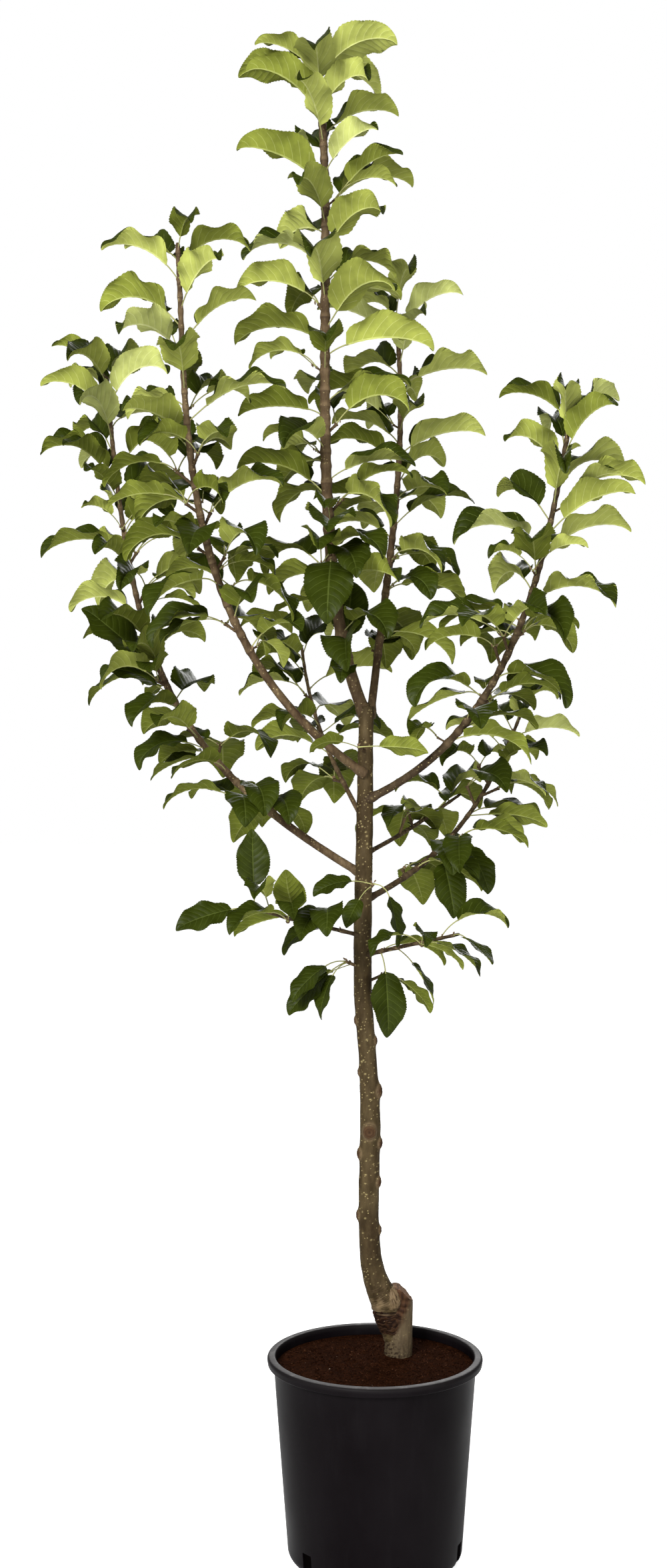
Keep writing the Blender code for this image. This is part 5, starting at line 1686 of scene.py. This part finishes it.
peat = plain_material("damp_peat", (.015, .0048, .0018), .95, .01)
tree_nodes = peat.node_tree
shader = tree_nodes.nodes["Principled BSDF"]
grains = spread(tree_nodes, noise_on(tree_nodes, 190, 8, (1, 1, 1), .7), .34, .68)
patches = spread(tree_nodes, noise_on(tree_nodes, 24, 4), .4, .62)
colour = blend_colours(tree_nodes, grains, (.0060, .0018, .0007), (.031, .0102, .0040))
colour = blend_colours(tree_nodes, spread(tree_nodes, patches, 0, 1, 0, .5), colour, (.0105, .0032, .0012))
place = tree_nodes.nodes.new("ShaderNodeTexCoord")
axes = tree_nodes.nodes.new("ShaderNodeSeparateXYZ")
tree_nodes.links.new(place.outputs["Object"], axes.inputs["Vector"])
# Painted shade: the compost is painted near black low down in the pot, where it shows through the slots
colour = blend_colours(tree_nodes, spread(tree_nodes, axes.outputs["Z"], .05, SOIL_TOP - .02), (.0010, .0006, .0005), colour)
tree_nodes.links.new(colour, shader.inputs["Base Color"])
add_bump(tree_nodes, shader, grains, .0012, .9)
soil_mesh.materials.append(peat)
add_piece("compost", soil_mesh, ["soil"])

# %% Strew the crumbs and fibres
crumb_finishes = [
    plain_material("crumb_dark", (.0075, .0022, .0009), .95, .01),
    plain_material("crumb_brown", (.0195, .0062, .0025), .92, .02),
    plain_material("crumb_light", (.040, .0155, .0070), .9, .04),
    plain_material("crumb_grit", (.20, .15, .11), .8),
]
rng = random.Random(12)
bm = bmesh.new()
bmesh.ops.create_icosphere(bm, subdivisions=1, radius=1)
for vertex in bm.verts:
    vertex.co *= 1 + .60 * noise.noise(vertex.co * 2.3)
crumb_places = []
for _ in range(CRUMBS):
    turn = rng.uniform(0, math.tau)
    radius = (top_radius - .004) * math.sqrt(rng.random())
    x, y = radius * math.cos(turn), radius * math.sin(turn)
    size = .0004 + .0012 * rng.random()**4
    shape = Matrix.Diagonal((size * rng.uniform(.8, 1.6), size * rng.uniform(.7, 1.2), size * rng.uniform(.5, .9), 1))
    spin = Matrix.Rotation(rng.uniform(0, math.tau), 4, Vector((rng.gauss(0, .4), rng.gauss(0, .4), 1)))
    place = Matrix.Translation((x, y, SOIL_TOP + soil_height(x, y) + size * .15))
    pick = rng.random()
    slot = 0 if pick < .52 else 1 if pick < .95 else 2 if pick < .9985 else 3
    crumb_places.append((place @ spin @ shape, slot))
points, corners, sizes, slots = scatter(pattern_of(bm), crumb_places)
add_piece("compost_crumbs", mesh_from_arrays("crumbs", points, corners, sizes, slots, crumb_finishes))

bm = bmesh.new()
bmesh.ops.create_cone(bm, cap_ends=True, segments=5, radius1=.00034, radius2=.00016, depth=.011)
bmesh.ops.subdivide_edges(bm, edges=[e for e in bm.edges if abs(e.verts[0].co.z - e.verts[1].co.z) > .005], cuts=3)
for vertex in bm.verts:
    vertex.co.x += .0012 * math.cos(vertex.co.z / .0035)
bmesh.ops.rotate(bm, cent=(0, 0, 0), matrix=Matrix.Rotation(math.pi / 2, 3, "Y"), verts=bm.verts)
fibre_places = []
for _ in range(FIBRES):
    turn = rng.uniform(0, math.tau)
    radius = (top_radius - .010) * math.sqrt(rng.random())
    x, y = radius * math.cos(turn), radius * math.sin(turn)
    spin = Matrix.Rotation(rng.uniform(0, math.tau), 4, "Z") @ Matrix.Rotation(rng.gauss(0, .18), 4, "Y")
    place = Matrix.Translation((x, y, SOIL_TOP + soil_height(x, y) + .0004))
    fibre_places.append((place @ spin @ Matrix.Diagonal((rng.uniform(.4, 1.1), 1, 1, 1)), 2 if rng.random() < .7 else 1))
points, corners, sizes, slots = scatter(pattern_of(bm), fibre_places)
add_piece("compost_fibres", mesh_from_arrays("fibres", points, corners, sizes, slots, crumb_finishes))
